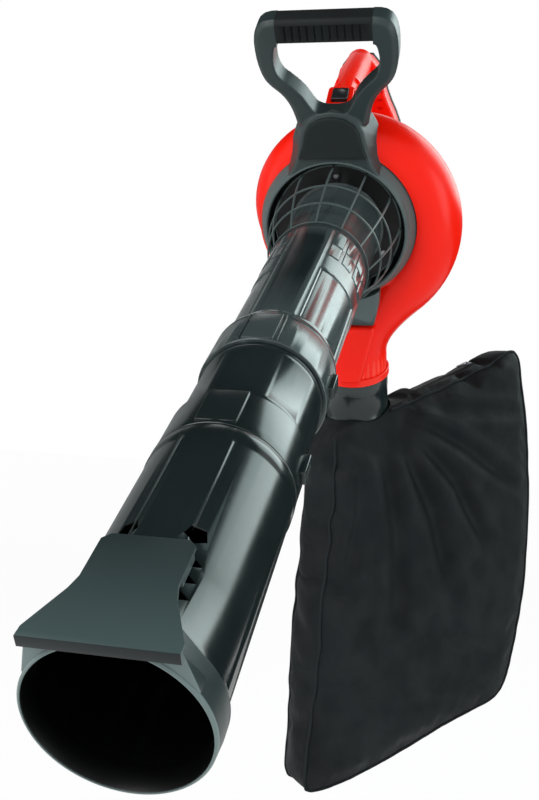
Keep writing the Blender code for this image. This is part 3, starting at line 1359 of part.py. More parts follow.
def make_motor_shaft():
    back = bracket_front_ahead() - BEARING_DEPTH - BEARING_LIP_DEPTH - 0.002
    profile = solid_profile(((SHAFT_RADIUS, SHAFT_FRONT_AHEAD), (SHAFT_RADIUS, back)))
    return finish(turned("motor_shaft", profile, steps=SHAFT_STEPS, closed=False), "motor_shaft", STEEL)


def brush_start():
    return COMMUTATOR_RADIUS + GAP


def holder_end():
    half_height = BRUSH_HEIGHT / 2 + GAP + BRUSH_HOLDER_WALL
    inner = (CAN_RADIUS - CAN_WALL) * math.cos(math.pi / MOTOR_STEPS)
    return math.sqrt(inner ** 2 - half_height ** 2) - GAP


def make_brush_sets():
    """A carbon brush, its holder and its spring on each side of the commutator."""
    for side, turn in (("right", Matrix()), ("left", Matrix.Rotation(math.pi, 4, "Z"))):
        place = turn @ Matrix.Translation((0.0, 0.0, BRUSH_AHEAD))
        half_height = BRUSH_HEIGHT / 2
        half_depth = BRUSH_DEPTH / 2
        brush_end = brush_start() + BRUSH_LENGTH
        brush = block(f"carbon_brush_{side}", (brush_start(), -half_height, -half_depth),
                      (brush_end, half_height, half_depth), place)
        finish(brush, f"carbon_brush_{side}", CARBON)
        grown_height = half_height + GAP
        grown_depth = half_depth + GAP
        wall = BRUSH_HOLDER_WALL
        low = (BRUSH_HOLDER_START, -grown_height - wall, -grown_depth - wall)
        high = (holder_end(), grown_height + wall, grown_depth + wall)
        holder = block(f"brush_holder_{side}", low, high, place)
        channel = block(f"brush_channel_{side}", (BRUSH_HOLDER_START - OVERLAP, -grown_height, -grown_depth),
                        (holder_end() - 0.002, grown_height, grown_depth), place)
        cut(holder, channel)
        finish(holder, f"brush_holder_{side}", COPPER)
        start = brush_end + BRUSH_SPRING_WIRE + GAP
        end = holder_end() - 0.002 - BRUSH_SPRING_WIRE - GAP
        steps = BRUSH_SPRING_TURNS * 8
        stations = []
        for index in range(steps + 1):
            y, z = polar(BRUSH_SPRING_RADIUS, index * math.tau / 8)
            stations.append((Vector((mixed(start, end, index / steps), y, z)), BRUSH_SPRING_WIRE))
        spring = swept_tube(f"brush_spring_{side}", stations, 0)
        spring.matrix_basis = place
        finish(spring, f"brush_spring_{side}", STEEL)


# Fans

def bladed_disc(name, radius, back, disc, hub_radius, hub_depth, blades, height, inner, thickness):
    """A fan: a disc with a hub and swept blades that stand ahead of it."""
    fan = turned(name, solid_profile(((hub_radius, back + hub_depth), (hub_radius, back + disc),
                                      (radius, back + disc), (radius, back))), closed=False)
    vanes = []
    for index, place in enumerate(radial_places(blades)):
        swept = place @ Matrix.Translation((inner, 0.0, 0.0)) @ Matrix.Rotation(-BLADE_SWEEP, 4, "Z")
        length = (radius - inner) * 0.97
        vanes.append(block(f"{name}_blade_{index}", (0.0, -thickness / 2, back + disc - 0.001),
                           (length, thickness / 2, back + disc + height), swept))
    bore = cylinder(name + "_bore", SHAFT_RADIUS + GAP, back - OVERLAP, back + hub_depth + OVERLAP,
                    steps=SHAFT_STEPS)
    join(fan, as_cutter(group_of(name + "_blades", vanes)))
    return cut(fan, bore)


def make_fans():
    cooling = bladed_disc("cooling_fan", COOLING_FAN_RADIUS, COOLING_FAN_BACK_AHEAD, COOLING_FAN_DISC,
                          0.011, COOLING_FAN_DEPTH, COOLING_BLADES,
                          COOLING_FAN_DEPTH - COOLING_FAN_DISC - 0.001, 0.017, 0.0015)
    finish(cooling, "cooling_fan", NATURAL_NYLON)
    impeller = bladed_disc("impeller", IMPELLER_RADIUS, IMPELLER_BACK_AHEAD, IMPELLER_DISC_THICKNESS,
                           IMPELLER_HUB_RADIUS, IMPELLER_HUB_DEPTH, IMPELLER_BLADES,
                           IMPELLER_BLADE_HEIGHT, IMPELLER_BLADE_INNER, IMPELLER_BLADE_THICKNESS)
    finish(impeller, "impeller", LAMINATION)
    low = IMPELLER_BACK_AHEAD + IMPELLER_HUB_DEPTH + GAP
    high = CHOPPER_BACK_AHEAD - GAP
    bore = SHAFT_RADIUS + GAP
    spacer = turned("fan_spacer", ((bore, high), (SPACER_RADIUS, high), (SPACER_RADIUS, low), (bore, low)),
                    steps=SHAFT_STEPS)
    finish(spacer, "fan_spacer", STEEL)


def make_shredder_blade():
    half = CHOPPER_HALF_WIDTH
    tip = CHOPPER_HALF_LENGTH
    outline = ((-tip, -half), (0.0, -half - 0.003), (tip - 0.008, -half), (tip, half),
               (0.0, half + 0.003), (-tip + 0.008, half))
    blade = flat_plate("shredder_blade", [outline], CHOPPER_BACK_AHEAD,
                       CHOPPER_BACK_AHEAD + CHOPPER_THICKNESS)
    bore = cylinder("blade_bore", SHAFT_RADIUS + GAP, CHOPPER_BACK_AHEAD - OVERLAP,
                    CHOPPER_BACK_AHEAD + CHOPPER_THICKNESS + OVERLAP, steps=SHAFT_STEPS)
    cut(blade, bore)
    return finish(blade, "shredder_blade", STEEL)


def make_impeller_nut():
    low = CHOPPER_BACK_AHEAD + CHOPPER_THICKNESS + GAP
    nut = cylinder("impeller_nut", NUT_RADIUS, low, low + NUT_HEIGHT, steps=6)
    bore = cylinder("nut_bore", SHAFT_RADIUS + GAP, low - OVERLAP, low + NUT_HEIGHT + OVERLAP,
                    steps=SHAFT_STEPS)
    cut(nut, bore)
    return finish(nut, "impeller_nut", STEEL)


# Bag

def under(frame, thing):
    """Moves a piece and its cutters from the machine's frame to another one."""
    thing.parent = frame
    for modifier in thing.modifiers:
        if modifier.type == "BOOLEAN":
            modifier.object.parent = frame
    return thing


def bezier(points, share):
    rest = 1.0 - share
    weights = (rest ** 3, 3 * rest ** 2 * share, 3 * rest * share ** 2, share ** 3)
    x = sum(weight * point[0] for weight, point in zip(weights, points))
    z = sum(weight * point[1] for weight, point in zip(weights, points))
    return Vector((x, z))


def bag_point(across, height, depth):
    """Maps a unit cube to the bag: across 0 to 1, height 0 to 1, depth -1 to 1."""
    sides = bezier(BAG_LEFT, height) * (1 - across) + bezier(BAG_RIGHT, height) * across
    ends = bezier(BAG_BOTTOM, across) * (1 - height) + bezier(BAG_TOP, across) * height
    low = Vector(BAG_BOTTOM[0]) * (1 - across) + Vector(BAG_BOTTOM[3]) * across
    high = Vector(BAG_TOP[0]) * (1 - across) + Vector(BAG_TOP[3]) * across
    corners = low * (1 - height) + high * height
    spot = sides + ends - corners
    fullness = (1 - across ** 2) * min(1.0, 0.30 + 2.0 * height)
    half = mixed(BAG_EDGE_HALF_THICKNESS, BAG_HALF_THICKNESS, fullness)
    return Vector((spot.x, depth * half, spot.y))


def collar_place_in_bag():
    """The outlet's place seen from the bag's frame, with Z down out of the collar."""
    bpy.context.view_layer.update()
    rim = MACHINE.matrix_world @ outlet_place() @ Matrix.Translation((0.0, 0.0, GAP + COLLAR_LENGTH))
    return BAG_FRAME.matrix_world.inverted() @ rim


def zip_place():
    """Frame on the bag's upper edge: X along the zip, Z out of the cloth."""
    return Matrix.Translation((ZIP_START, 0.0, ZIP_START_UP)) @ Matrix.Rotation(-ZIP_RISE, 4, "Y")


def make_bag():
    cage = bmesh.new()
    bmesh.ops.create_cube(cage, size=1.0)
    bmesh.ops.subdivide_edges(cage, edges=cage.edges[:], cuts=4, use_grid_fill=True)
    for corner in cage.verts:
        across, depth, height = corner.co.x + 0.5, corner.co.y * 2.0, corner.co.z + 0.5
        corner.co = bag_point(across, height, depth)
    mesh = bpy.data.meshes.new("bag_body")
    cage.to_mesh(mesh)
    cage.free()
    bag = add_object("bag_body", mesh)
    soft = bag.modifiers.new("soft_form", "SUBSURF")
    soft.levels = 1
    soft.render_levels = 1
    collar = collar_place_in_bag()
    cuff = cylinder("bag_cuff", COLLAR_RADIUS + 0.0045, -BAG_CUFF_OVERLAP, BAG_CUFF_DEPTH, collar,
                    ROUND_STEPS)
    pocket = cylinder("bag_pocket", COLLAR_RADIUS + MOUTH_RING_GROWTH + GAP, -0.05,
                      MOUTH_RING_HEIGHT + 3 * GAP, collar, ROUND_STEPS)
    half_width = ZIP_WIDTH / 2 + 0.002
    seat = block("zip_seat", (-0.004, -half_width * 4, 0.0), (ZIP_LENGTH + 0.004, half_width * 4, 0.05),
                 zip_place())
    join(bag, cuff)
    cut(bag, pocket, seat)
    under(BAG_FRAME, bag)
    return finish(bag, "bag_body", BAG_CLOTH)


def make_bag_mouth_ring():
    outer = COLLAR_RADIUS + MOUTH_RING_GROWTH
    inner = outer - MOUTH_RING_WALL
    profile = ((inner, GAP + MOUTH_RING_HEIGHT), (outer, GAP + MOUTH_RING_HEIGHT), (outer, GAP),
               (inner, GAP))
    ring = turned("bag_mouth_ring", profile, collar_place_in_bag())
    under(BAG_FRAME, ring)
    return finish(ring, "bag_mouth_ring", BLACK_PLASTIC)


def make_bag_zip():
    strip = block("bag_zip", (0.0, -ZIP_WIDTH / 2, GAP),
                  (ZIP_LENGTH, ZIP_WIDTH / 2, GAP + ZIP_THICKNESS), zip_place())
    under(BAG_FRAME, strip)
    finish(strip, "bag_zip", ZIP_NYLON)
    base = 2 * GAP + ZIP_THICKNESS
    runner_place = zip_place() @ Matrix.Translation((ZIP_LENGTH - SLIDER_LENGTH, 0.0, base))
    slider = block("zip_slider", (-SLIDER_LENGTH / 2, -SLIDER_WIDTH / 2, 0.0),
                   (SLIDER_LENGTH / 2, SLIDER_WIDTH / 2, SLIDER_HEIGHT), runner_place, bevel=0.0008)
    under(BAG_FRAME, slider)
    finish(slider, "zip_slider", ZINC)
    eye = SLIDER_HEIGHT + PULL_EYE_HEIGHT
    pull_place = runner_place @ Matrix.Translation((0.0, 0.0, eye))
    outline = ((0.0, -PULL_WIDTH / 2), (-PULL_LENGTH, -PULL_WIDTH / 2 * 0.7),
               (-PULL_LENGTH, PULL_WIDTH / 2 * 0.7), (0.0, PULL_WIDTH / 2))
    pull = flat_plate("zip_pull", [outline], -PULL_THICKNESS / 2, PULL_THICKNESS / 2, pull_place)
    under(BAG_FRAME, pull)
    finish(pull, "zip_pull", ZINC)


# The blower

for leftover in list(bpy.data.objects):
    bpy.data.objects.remove(leftover, do_unlink=True)

bpy.context.scene.collection.children.link(PARTS)
bpy.context.scene.collection.children.link(CUTTERS)
MACHINE = frame_empty("blower_axis", machine_matrix())
BAG_FRAME = frame_empty("bag_axis", bag_matrix(machine_matrix()))

make_upper_tube()
make_middle_tube()
make_lower_tube()
make_catch("tube_catch_upper", UPPER_CATCH_AHEAD)
make_catch("tube_catch_lower", LOWER_CATCH_AHEAD)
make_nozzle_ring()
make_scraper_plate()
make_intake_cover()
make_cover_screws()
make_intake_guard()
make_volute_shells()
make_housing_screws()
make_outlet_collar()
make_front_handle()
make_front_grip()
make_neck_panel()
make_main_handle()
make_handle_screws()
make_grip_insert()
make_switch_bezel()
make_power_switch()
make_switch_module()
make_motor_housing()
make_rear_cover()
make_cord_inlet()
make_motor_can()
make_rear_bracket()
make_bearings()
make_stator()
make_field_coils()
make_armature()
make_commutator()
make_motor_shaft()
make_brush_sets()
make_fans()
make_shredder_blade()
make_impeller_nut()
make_bag()
make_bag_mouth_ring()
make_bag_zip()
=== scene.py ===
# Looks of the leaf blower vacuum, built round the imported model.
#
# Machine pieces are drawn in the tube's own frame, as seen from its mouth: X to the
# right, Y up from the tube, Z ahead along the tube to its mouth. Its origin lies on
# the tube's axis, in the front plane of the intake cover. Bag pieces are drawn in an
# upright frame at the end of the outlet collar. Lengths are metres.

import math

import bmesh
import bpy
from mathutils import Matrix, Vector, noise


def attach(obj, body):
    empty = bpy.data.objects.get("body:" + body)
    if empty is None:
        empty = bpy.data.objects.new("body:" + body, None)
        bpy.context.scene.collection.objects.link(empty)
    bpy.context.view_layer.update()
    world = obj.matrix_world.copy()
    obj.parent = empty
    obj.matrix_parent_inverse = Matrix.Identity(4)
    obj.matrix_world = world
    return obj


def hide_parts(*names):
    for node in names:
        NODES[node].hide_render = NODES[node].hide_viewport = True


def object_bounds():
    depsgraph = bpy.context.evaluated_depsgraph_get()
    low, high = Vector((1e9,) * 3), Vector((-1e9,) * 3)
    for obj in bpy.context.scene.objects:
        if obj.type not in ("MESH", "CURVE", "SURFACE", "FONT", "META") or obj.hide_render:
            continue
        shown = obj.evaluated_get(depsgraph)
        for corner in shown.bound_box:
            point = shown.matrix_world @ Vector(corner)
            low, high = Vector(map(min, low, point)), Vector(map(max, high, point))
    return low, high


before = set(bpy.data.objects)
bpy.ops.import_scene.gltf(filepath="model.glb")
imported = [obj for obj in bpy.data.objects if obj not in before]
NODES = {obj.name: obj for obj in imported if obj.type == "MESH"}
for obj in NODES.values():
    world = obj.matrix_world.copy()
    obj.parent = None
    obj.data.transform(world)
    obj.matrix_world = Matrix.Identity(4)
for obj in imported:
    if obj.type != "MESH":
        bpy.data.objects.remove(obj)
CAD_LOW, CAD_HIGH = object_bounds()

# Posture
TUBE_SLOPE = math.radians(30)
GRIP_AHEAD = -0.180
GRIP_UP = 0.165

# General
GAP = 0.0003
WELD = 0.00001
SCREW_HOLE_RADIUS = 0.0024
MOULD_EDGE = 0.0004
TUBE_STEPS = 96
SMALL_STEPS = 32

# Suction tube
TUBE_WALL = 0.0025
UPPER_TUBE_RADIUS = 0.0600
MIDDLE_TUBE_RADIUS = 0.0615
LOWER_TUBE_RADIUS = 0.0660
SOCKET_INNER = MIDDLE_TUBE_RADIUS + GAP
SOCKET_OUTER = SOCKET_INNER + 0.0035
SOCKET_DEPTH = 0.045
UPPER_TUBE_END = 0.450
LOWER_TUBE_START = 0.548
LOWER_TUBE_END = 0.842
TUBE_ROOT = -0.0212
CATCH_TRAVEL = 0.0018
UPPER_CATCH_AHEAD = UPPER_TUBE_END - 0.029
LOWER_CATCH_AHEAD = LOWER_TUBE_START + 0.0195

# Mouth
MOUTH_AHEAD = 0.864
MOUTH_BACK = 0.836
HOOD_UP = LOWER_TUBE_RADIUS + GAP + TUBE_WALL
HOOD_HALF_WIDTH = 0.052
HOOD_BACK_HALF_WIDTH = 0.041
HOOD_FOOT_UP = 0.033
PLATE_THICKNESS = 0.003
PLATE_BACK = MOUTH_AHEAD - 0.100
PLATE_HALF_WIDTH = 0.034
PLATE_FRONT_HALF_WIDTH = HOOD_HALF_WIDTH + 0.001

# Intake cover and guard
COVER_FRONT_RADIUS = 0.0975
COVER_BACK_RADIUS = 0.1080
COVER_DEPTH = 0.025
COVER_WALL = 0.0028
COVER_SCREW_CIRCLE = 0.072
DISH_RADIUS = 0.088
DISH_FLOOR = -0.0215
GUARD_FOOT_RADIUS = 0.0865
GUARD_TOP = 0.130
GUARD_RIBS = 12
GUARD_STEPS_PER_RIB = 16

# Blower housing
SCROLL_AHEAD = -0.066
SCROLL_START_ANGLE = math.radians(235)
SCROLL_END_ANGLE = math.radians(-50)
SCROLL_START_REACH = 0.1080
SCROLL_FULL_REACH = 0.1765
SCROLL_GROWTH_POWER = 1.1
SCROLL_START_SECTION = 0.034
SCROLL_SECTION = 0.046
SCROLL_SWELL_ANGLE = math.radians(65)
SCROLL_STATIONS = 72
SCROLL_HANDLE = 0.050
OUTLET_HANDLE = 0.045
OUTLET_X = 0.011
OUTLET_SECTION = 0.049
OUTLET_NECK_START_UP = -0.215
OUTLET_END_UP = -0.250
OUTLET_NECK_STATIONS = 16
DRUM_RADIUS = 0.110
DRUM_BACK = -0.1135
SHELL_WALL = 0.003
COLLAR_RADIUS = 0.0505
COLLAR_LENGTH = 0.070

# Handles
FRAME_LEAN = math.radians(18.8)
FRAME_PIVOT = (0.0, 0.150, -0.0207)
FRAME_DEPTH = 0.030
GRIP_BAR_UP = 0.1285
FRONT_GRIP_HALF_LENGTH = 0.059
HANDLE_HALF_WIDTH = 0.019
SWITCH_SLOPE = math.radians(22)
SWITCH_AHEAD = -0.0770
SWITCH_UP = 0.1610
SWITCH_TRAVEL = 0.005
WEB_BACK = -0.288
BARREL_START = -0.1198
REAR_COVER_THICKNESS = 0.007
CORD_INLET_UP = 0.105

# Bag
BAG_HEADING = math.radians(35)
BAG_HALF_THICKNESS = 0.060
BAG_EDGE_HALF_THICKNESS = 0.030
BAG_BAND_WALL = 0.0032
CUFF_REACH = 0.075
CLOTH_REACH = 0.014
SEAM_THICKNESS = 0.0042
SEAM_STEPS = 90
ZIP_START = 0.105
ZIP_START_UP = 0.036
ZIP_RISE = math.radians(25)
ZIP_LENGTH = 0.118

# Outlines, as (X, up) halves of what is even on both sides, or as (ahead, up) side views
FRAME_OUTER = ((0.060, 0.1430), (0.073, 0.1415), (0.083, 0.1350), (0.088, 0.122), (0.0895, 0.105),
               (0.088, 0.082), (0.083, 0.063), (0.075, 0.052), (0.062, 0.040), (0.053, 0.024),
               (0.048, 0.004), (0.046, -0.010))
FRAME_INNER = ((0.060, 0.1120), (0.0645, 0.104), (0.0665, 0.084), (0.062, 0.067), (0.048, 0.055),
               (0.035, 0.041), (0.027, 0.026), (0.021, 0.016), (0.010, 0.012))
NECK_FRONT = ((0.072, 0.060), (0.060, 0.078), (0.052, 0.090), (0.0475, 0.100), (0.044, 0.118),
              (0.040, 0.136), (0.033, 0.150), (0.018, 0.160), (0.0, 0.163))
NECK_BACK = ((0.082, 0.060), (0.078, 0.074), (0.073, 0.087), (0.067, 0.104), (0.062, 0.118),
             (0.055, 0.138), (0.048, 0.151), (0.032, 0.158), (0.0, 0.1595))
PANEL_HALF = ((0.0455, 0.1015), (0.0385, 0.118), (0.0355, 0.134), (0.029, 0.145), (0.016, 0.153),
              (0.0, 0.1555))
HANDLE_CORE = ((-0.050, 0.1488), (-0.050, 0.1632), (-0.0985, 0.1702), (-0.1030, 0.1600),
               (-0.150, 0.1640), (-0.200, 0.1690), (-0.240, 0.1720), (-0.260, 0.170),
               (-0.271, 0.156), (-0.272, 0.062), (-0.244, 0.062), (-0.238, 0.084),
               (-0.246, 0.108), (-0.250, 0.132), (-0.245, 0.142), (-0.232, 0.1488))
HANDLE_SPINE = ((-0.0960, 0.1507), (-0.112, 0.1545), (-0.130, 0.1570), (-0.150, 0.1595), (-0.175, 0.1622),
                (-0.200, 0.1645), (-0.220, 0.1660), (-0.242, 0.1672), (-0.266, 0.1675))
WEB_HALF = ((0.058, 0.040), (0.058, 0.069), (0.051, 0.090), (0.044, 0.106), (0.038, 0.123),
            (0.035, 0.142), (0.029, 0.160), (0.016, 0.176))
# Edge curves of the bag's panels, as (X, Z) in the bag's own frame
BAG_LEFT = ((-0.080, -0.602), (-0.085, -0.400), (-0.077, -0.200), (-0.062, -0.026))
BAG_RIGHT = ((0.290, -0.475), (0.350, -0.350), (0.352, -0.090), (0.290, 0.125))
BAG_BOTTOM = ((-0.080, -0.602), (0.020, -0.602), (0.150, -0.515), (0.290, -0.475))
BAG_TOP = ((-0.062, -0.026), (0.060, 0.010), (0.110, 0.048), (0.290, 0.125))


def polar(radius, angle):
    return radius * math.cos(angle), radius * math.sin(angle)


def mixed(start, end, share):
    return start + (end - start) * share


# Frames

def machine_matrix():
    """Leans the tube's frame to its slope, with the middle of the rear bar at the origin."""
    turn = Matrix.Rotation(math.radians(90) + TUBE_SLOPE, 4, "X")
    grip = turn @ Vector((0.0, GRIP_UP, GRIP_AHEAD))
    return Matrix.Translation(-grip) @ turn


MACHINE = machine_matrix()
OUTLET = Matrix.Translation((OUTLET_X, OUTLET_END_UP, SCROLL_AHEAD)) @ Matrix.Rotation(
    math.radians(90), 4, "X")
COLLAR_RIM = MACHINE @ Vector((OUTLET_X, OUTLET_END_UP - GAP - COLLAR_LENGTH, SCROLL_AHEAD))
BAG_FRAME = Matrix.Translation(COLLAR_RIM) @ Matrix.Rotation(BAG_HEADING, 4, "Z")
FRONT_FRAME = Matrix.Translation(FRAME_PIVOT) @ Matrix.Rotation(FRAME_LEAN, 4, "X")
SWITCH_FACE = Matrix.Translation((0.0, SWITCH_UP, SWITCH_AHEAD)) @ Matrix.Rotation(
    SWITCH_SLOPE - math.radians(90), 4, "X")
# Stands a drawing of (ahead, up) upright along the machine
SIDE_VIEW = Matrix(((0.0, 0.0, 1.0, 0.0), (0.0, 1.0, 0.0, 0.0), (1.0, 0.0, 0.0, 0.0),
                    (0.0, 0.0, 0.0, 1.0)))
ZIP_PLACE = Matrix.Translation((ZIP_START, 0.0, ZIP_START_UP)) @ Matrix.Rotation(-ZIP_RISE, 4, "Y")


# Work at the bench: small steps of modelling

def deselect():
    """Goes back to object mode with nothing selected."""
    if bpy.context.mode != "OBJECT":
        bpy.ops.object.mode_set(mode="OBJECT")
    bpy.ops.object.select_all(action="DESELECT")


def take(piece):
    """Makes a piece the only one selected, and the active one."""
    deselect()
    piece.select_set(True)
    bpy.context.view_layer.objects.active = piece


def started(name):
    """Names the primitive that was just added and opens it for shaping, all selected."""
    piece = bpy.context.active_object
    piece.name = name
    piece.data.name = name
    bpy.ops.object.transform_apply()
    bpy.ops.object.mode_set(mode="EDIT")
    bpy.ops.mesh.select_mode(type="VERT")
    bpy.ops.mesh.select_all(action="SELECT")
    return piece


def closed_up(piece):
    """Merges doubles, turns the faces outwards and leaves edit mode."""
    bpy.ops.mesh.select_all(action="SELECT")
    bpy.ops.mesh.remove_doubles(threshold=WELD)
    bpy.ops.mesh.normals_make_consistent(inside=False)
    bpy.ops.object.mode_set(mode="OBJECT")
    return piece


def choose(piece, test, kind="FACE"):
    """Opens a piece and selects the faces, edges or corners that pass the test."""
    take(piece)
    bpy.ops.object.mode_set(mode="EDIT")
    bpy.ops.mesh.select_mode(type=kind)
    bpy.ops.mesh.select_all(action="DESELECT")
    cage = bmesh.from_edit_mesh(piece.data)
    found = {"FACE": cage.faces, "EDGE": cage.edges, "VERT": cage.verts}[kind]
    for item in found:
        if test(item):
            item.select_set(True)
    bmesh.update_edit_mesh(piece.data)


def leave():
    bpy.ops.object.mode_set(mode="OBJECT")


def faces_outward(piece):
    choose(piece, lambda face: True)
    bpy.ops.mesh.normals_make_consistent(inside=False)
    leave()
    return piece


def edges_bevelled(piece, test, offset, segments):
    choose(piece, test, "EDGE")
    bpy.ops.mesh.bevel(offset=offset, segments=segments, clamp_overlap=True)
    leave()


def faces_inset(piece, test, thickness, depth, **settings):
    choose(piece, test)
    bpy.ops.mesh.inset(thickness=thickness, depth=depth, **settings)
    leave()


def parted(piece, place, heading):
    """Keeps what lies ahead of a plane, and closes the cut."""
    choose(piece, lambda face: True)
    bpy.ops.mesh.bisect(plane_co=place, plane_no=heading, clear_inner=True, use_fill=True)
    leave()


def seated(piece, *places):
    """Moves a piece by one or more places, applied to its mesh."""
    for place in places:
        take(piece)
        piece.matrix_world = place @ piece.matrix_world
        bpy.ops.object.transform_apply()
    return piece


def twin(piece, name, place):
    """A copy with a mesh of its own, moved by a place."""
    take(piece)
    bpy.ops.object.duplicate()
    other = bpy.context.active_object
    other.name = name
    return seated(other, place)


def joined(pieces):
    """Puts separate equal pieces into one object."""
    take(pieces[0])
    for piece in pieces:
        piece.select_set(True)
    bpy.ops.object.join()
    return pieces[0]


def applied(piece, kind, **settings):
    """Adds a modifier with its settings and applies it at once."""
    take(piece)
    modifier = piece.modifiers.new(kind.lower(), kind)
    for key, value in settings.items():
        setattr(modifier, key, value)
    bpy.ops.object.modifier_apply(modifier=modifier.name)
    return piece


def rounded(piece, width, segments=3, angle=30.0):
    return applied(piece, "BEVEL", width=width, segments=segments, limit_method="ANGLE",
                   angle_limit=math.radians(angle), use_clamp_overlap=True)


def worked(piece, operation, others):
    """Cuts with the other bodies or fuses them in, one after another, and uses them up."""
    for other in others:
        applied(piece, "BOOLEAN", operation=operation, object=other, solver="EXACT")
        bpy.data.objects.remove(other)
    return piece


def carved(piece, *cutters):
    return worked(piece, "DIFFERENCE", cutters)


def fused(piece, *others):
    return worked(piece, "UNION", others)


def turned(name, profile, steps=TUBE_STEPS, closed=True):
    """A body of revolution about Z, drawn as a ring that is extruded along its profile.

    The profile closes on itself, or with closed=False ends in two flat caps, or with
    closed=None stays open.
    """
    (radius, ahead), rest = profile[0], list(profile[1:])
    deselect()
    bpy.ops.mesh.primitive_circle_add(vertices=steps, radius=radius, location=(0.0, 0.0, ahead))
    piece = started(name)
    if closed:
        rest.append(profile[0])
    for next_radius, next_ahead in rest:
        step = (0.0, 0.0, next_ahead - ahead)
        bpy.ops.mesh.extrude_region_move(TRANSFORM_OT_translate={"value": step})
        stretch = next_radius / radius
        bpy.ops.transform.resize(value=(stretch, stretch, 1.0),
                                 center_override=(0.0, 0.0, next_ahead))
        radius, ahead = next_radius, next_ahead
    if closed is False:
        bpy.ops.mesh.select_all(action="SELECT")
        bpy.ops.mesh.fill_holes(sides=0)
    return closed_up(piece)


def chain(points):
    """Draws a closed chain of corners in the open piece, corner by corner."""
    bpy.ops.mesh.select_all(action="DESELECT")
    bpy.ops.mesh.primitive_plane_add(size=0.0001, location=points[0])
    bpy.ops.mesh.merge(type="CENTER")
    for start, end in zip(points, points[1:] + points[:1]):
        bpy.ops.mesh.extrude_vertices_move(TRANSFORM_OT_translate={"value": tuple(end - start)})


def lofted(name, first, last):
    """A closed body between two outlines of as many corners each, drawn in an empty piece."""
    deselect()
    bpy.ops.mesh.primitive_plane_add(size=0.0001, location=(0.0, 0.0, 0.0))
    piece = started(name)
    bpy.ops.mesh.delete(type="VERT")
    bpy.ops.mesh.select_mode(type="VERT")
    for outline in (first, last):
        chain([Vector(point) for point in outline])
    bpy.ops.mesh.select_all(action="SELECT")
    bpy.ops.mesh.remove_doubles(threshold=WELD / 10)
    bpy.ops.mesh.bridge_edge_loops()
    bpy.ops.mesh.select_all(action="SELECT")
    bpy.ops.mesh.fill_holes(sides=0)
    return closed_up(piece)


def drawn(name, outline, low, high):
    """A flat outline in X and Y, thickened from low to high along Z."""
    return lofted(name, [(x, y, low) for x, y in outline], [(x, y, high) for x, y in outline])


def side_drawn(name, outline, low, high):
    """A side view drawn as (ahead, up), thickened across the handle from low to high."""
    return faces_outward(seated(drawn(name, outline, low, high), SIDE_VIEW))


def block(name, low, high, edge=0.0, segments=3):
    """A box between two corners with rounded edges."""
    size = [top - bottom for bottom, top in zip(low, high)]
    centre = [(top + bottom) / 2 for bottom, top in zip(low, high)]
    deselect()
    bpy.ops.mesh.primitive_cube_add(size=1.0, location=centre)
    piece = started(name)
    bpy.ops.transform.resize(value=size, center_override=centre)
    closed_up(piece)
    if edge > 0.0:
        rounded(piece, edge, segments)
    return piece


def rod(name, radius, low, high, steps=SMALL_STEPS):
    """A round bar along Z."""
    return turned(name, ((radius, low), (radius, high)), steps, closed=False)


def screw_hole_cutter(name, low, high, spots):
    """Pins along Z that cut the holes of several screws at once."""
    return joined([seated(rod(name, SCREW_HOLE_RADIUS, low, high, 16), Matrix.Translation((x, y, 0.0)))
                   for x, y in spots])


def swept(name, stations, steps):
    """A round closed body along stations of (centre, radius) in a plane across Z."""
    spots = [centre for centre, _ in stations]
    headings = []
    for index in range(len(spots)):
        before, after = spots[max(index - 1, 0)], spots[min(index + 1, len(spots) - 1)]
        heading = math.atan2(after.y - before.y, after.x - before.x)
        while headings and heading - headings[-1] > math.pi:
            heading -= math.tau
        while headings and heading - headings[-1] < -math.pi:
            heading += math.tau
        headings.append(heading)
    deselect()
    bpy.ops.mesh.primitive_circle_add(vertices=steps, radius=stations[0][1], location=spots[0],
                                      rotation=(math.radians(90), 0.0, headings[0] + math.radians(90)))
    piece = started(name)
    for index in range(1, len(stations)):
        spot = spots[index]
        step = tuple(spot - spots[index - 1])
        bpy.ops.mesh.extrude_region_move(TRANSFORM_OT_translate={"value": step})
        # Without a window the operator turns the other way
        bpy.ops.transform.rotate(value=headings[index - 1] - headings[index], orient_axis="Z",
                                 center_override=tuple(spot))
        stretch = stations[index][1] / stations[index - 1][1]
        bpy.ops.transform.resize(value=(stretch,) * 3, center_override=tuple(spot))
    bpy.ops.mesh.select_all(action="SELECT")
    bpy.ops.mesh.fill_holes(sides=0)
    return closed_up(piece)


def mirrored(half):
    """A whole outline from its right half, whose corners on the middle line stay single."""
    left = [(-x, y) for x, y in reversed(half) if x > 0.0]
    return tuple(half) + tuple(left)


def softened(outline, rounds=2, closed=True):
    """Cuts the corners of an outline again and again until it flows."""
    points = [Vector(point) for point in outline]
    for _ in range(rounds):
        pairs = list(zip(points, points[1:] + (points[:1] if closed else [])))
        flowing = [] if closed else [points[0]]
        for start, end in pairs:
            flowing += [start.lerp(end, 0.25), start.lerp(end, 0.75)]
        points = flowing if closed else flowing + [points[-1]]
    return [tuple(point) for point in points]


def handed_over(piece, body, nodes, material, place=MACHINE, angle=32.0):
    """Places a finished piece, gives it its material, smooths it, hangs it on its body and hides the CAD
    parts that it replaces.
    """
    seated(piece, place)
    piece.data.materials.clear()
    piece.data.materials.append(material)
    for face in piece.data.polygons:
        face.material_index = 0
    bpy.ops.object.shade_smooth_by_angle(angle=math.radians(angle))
    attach(piece, body)
    if nodes:
        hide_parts(*nodes)
    deselect()


# Finishes

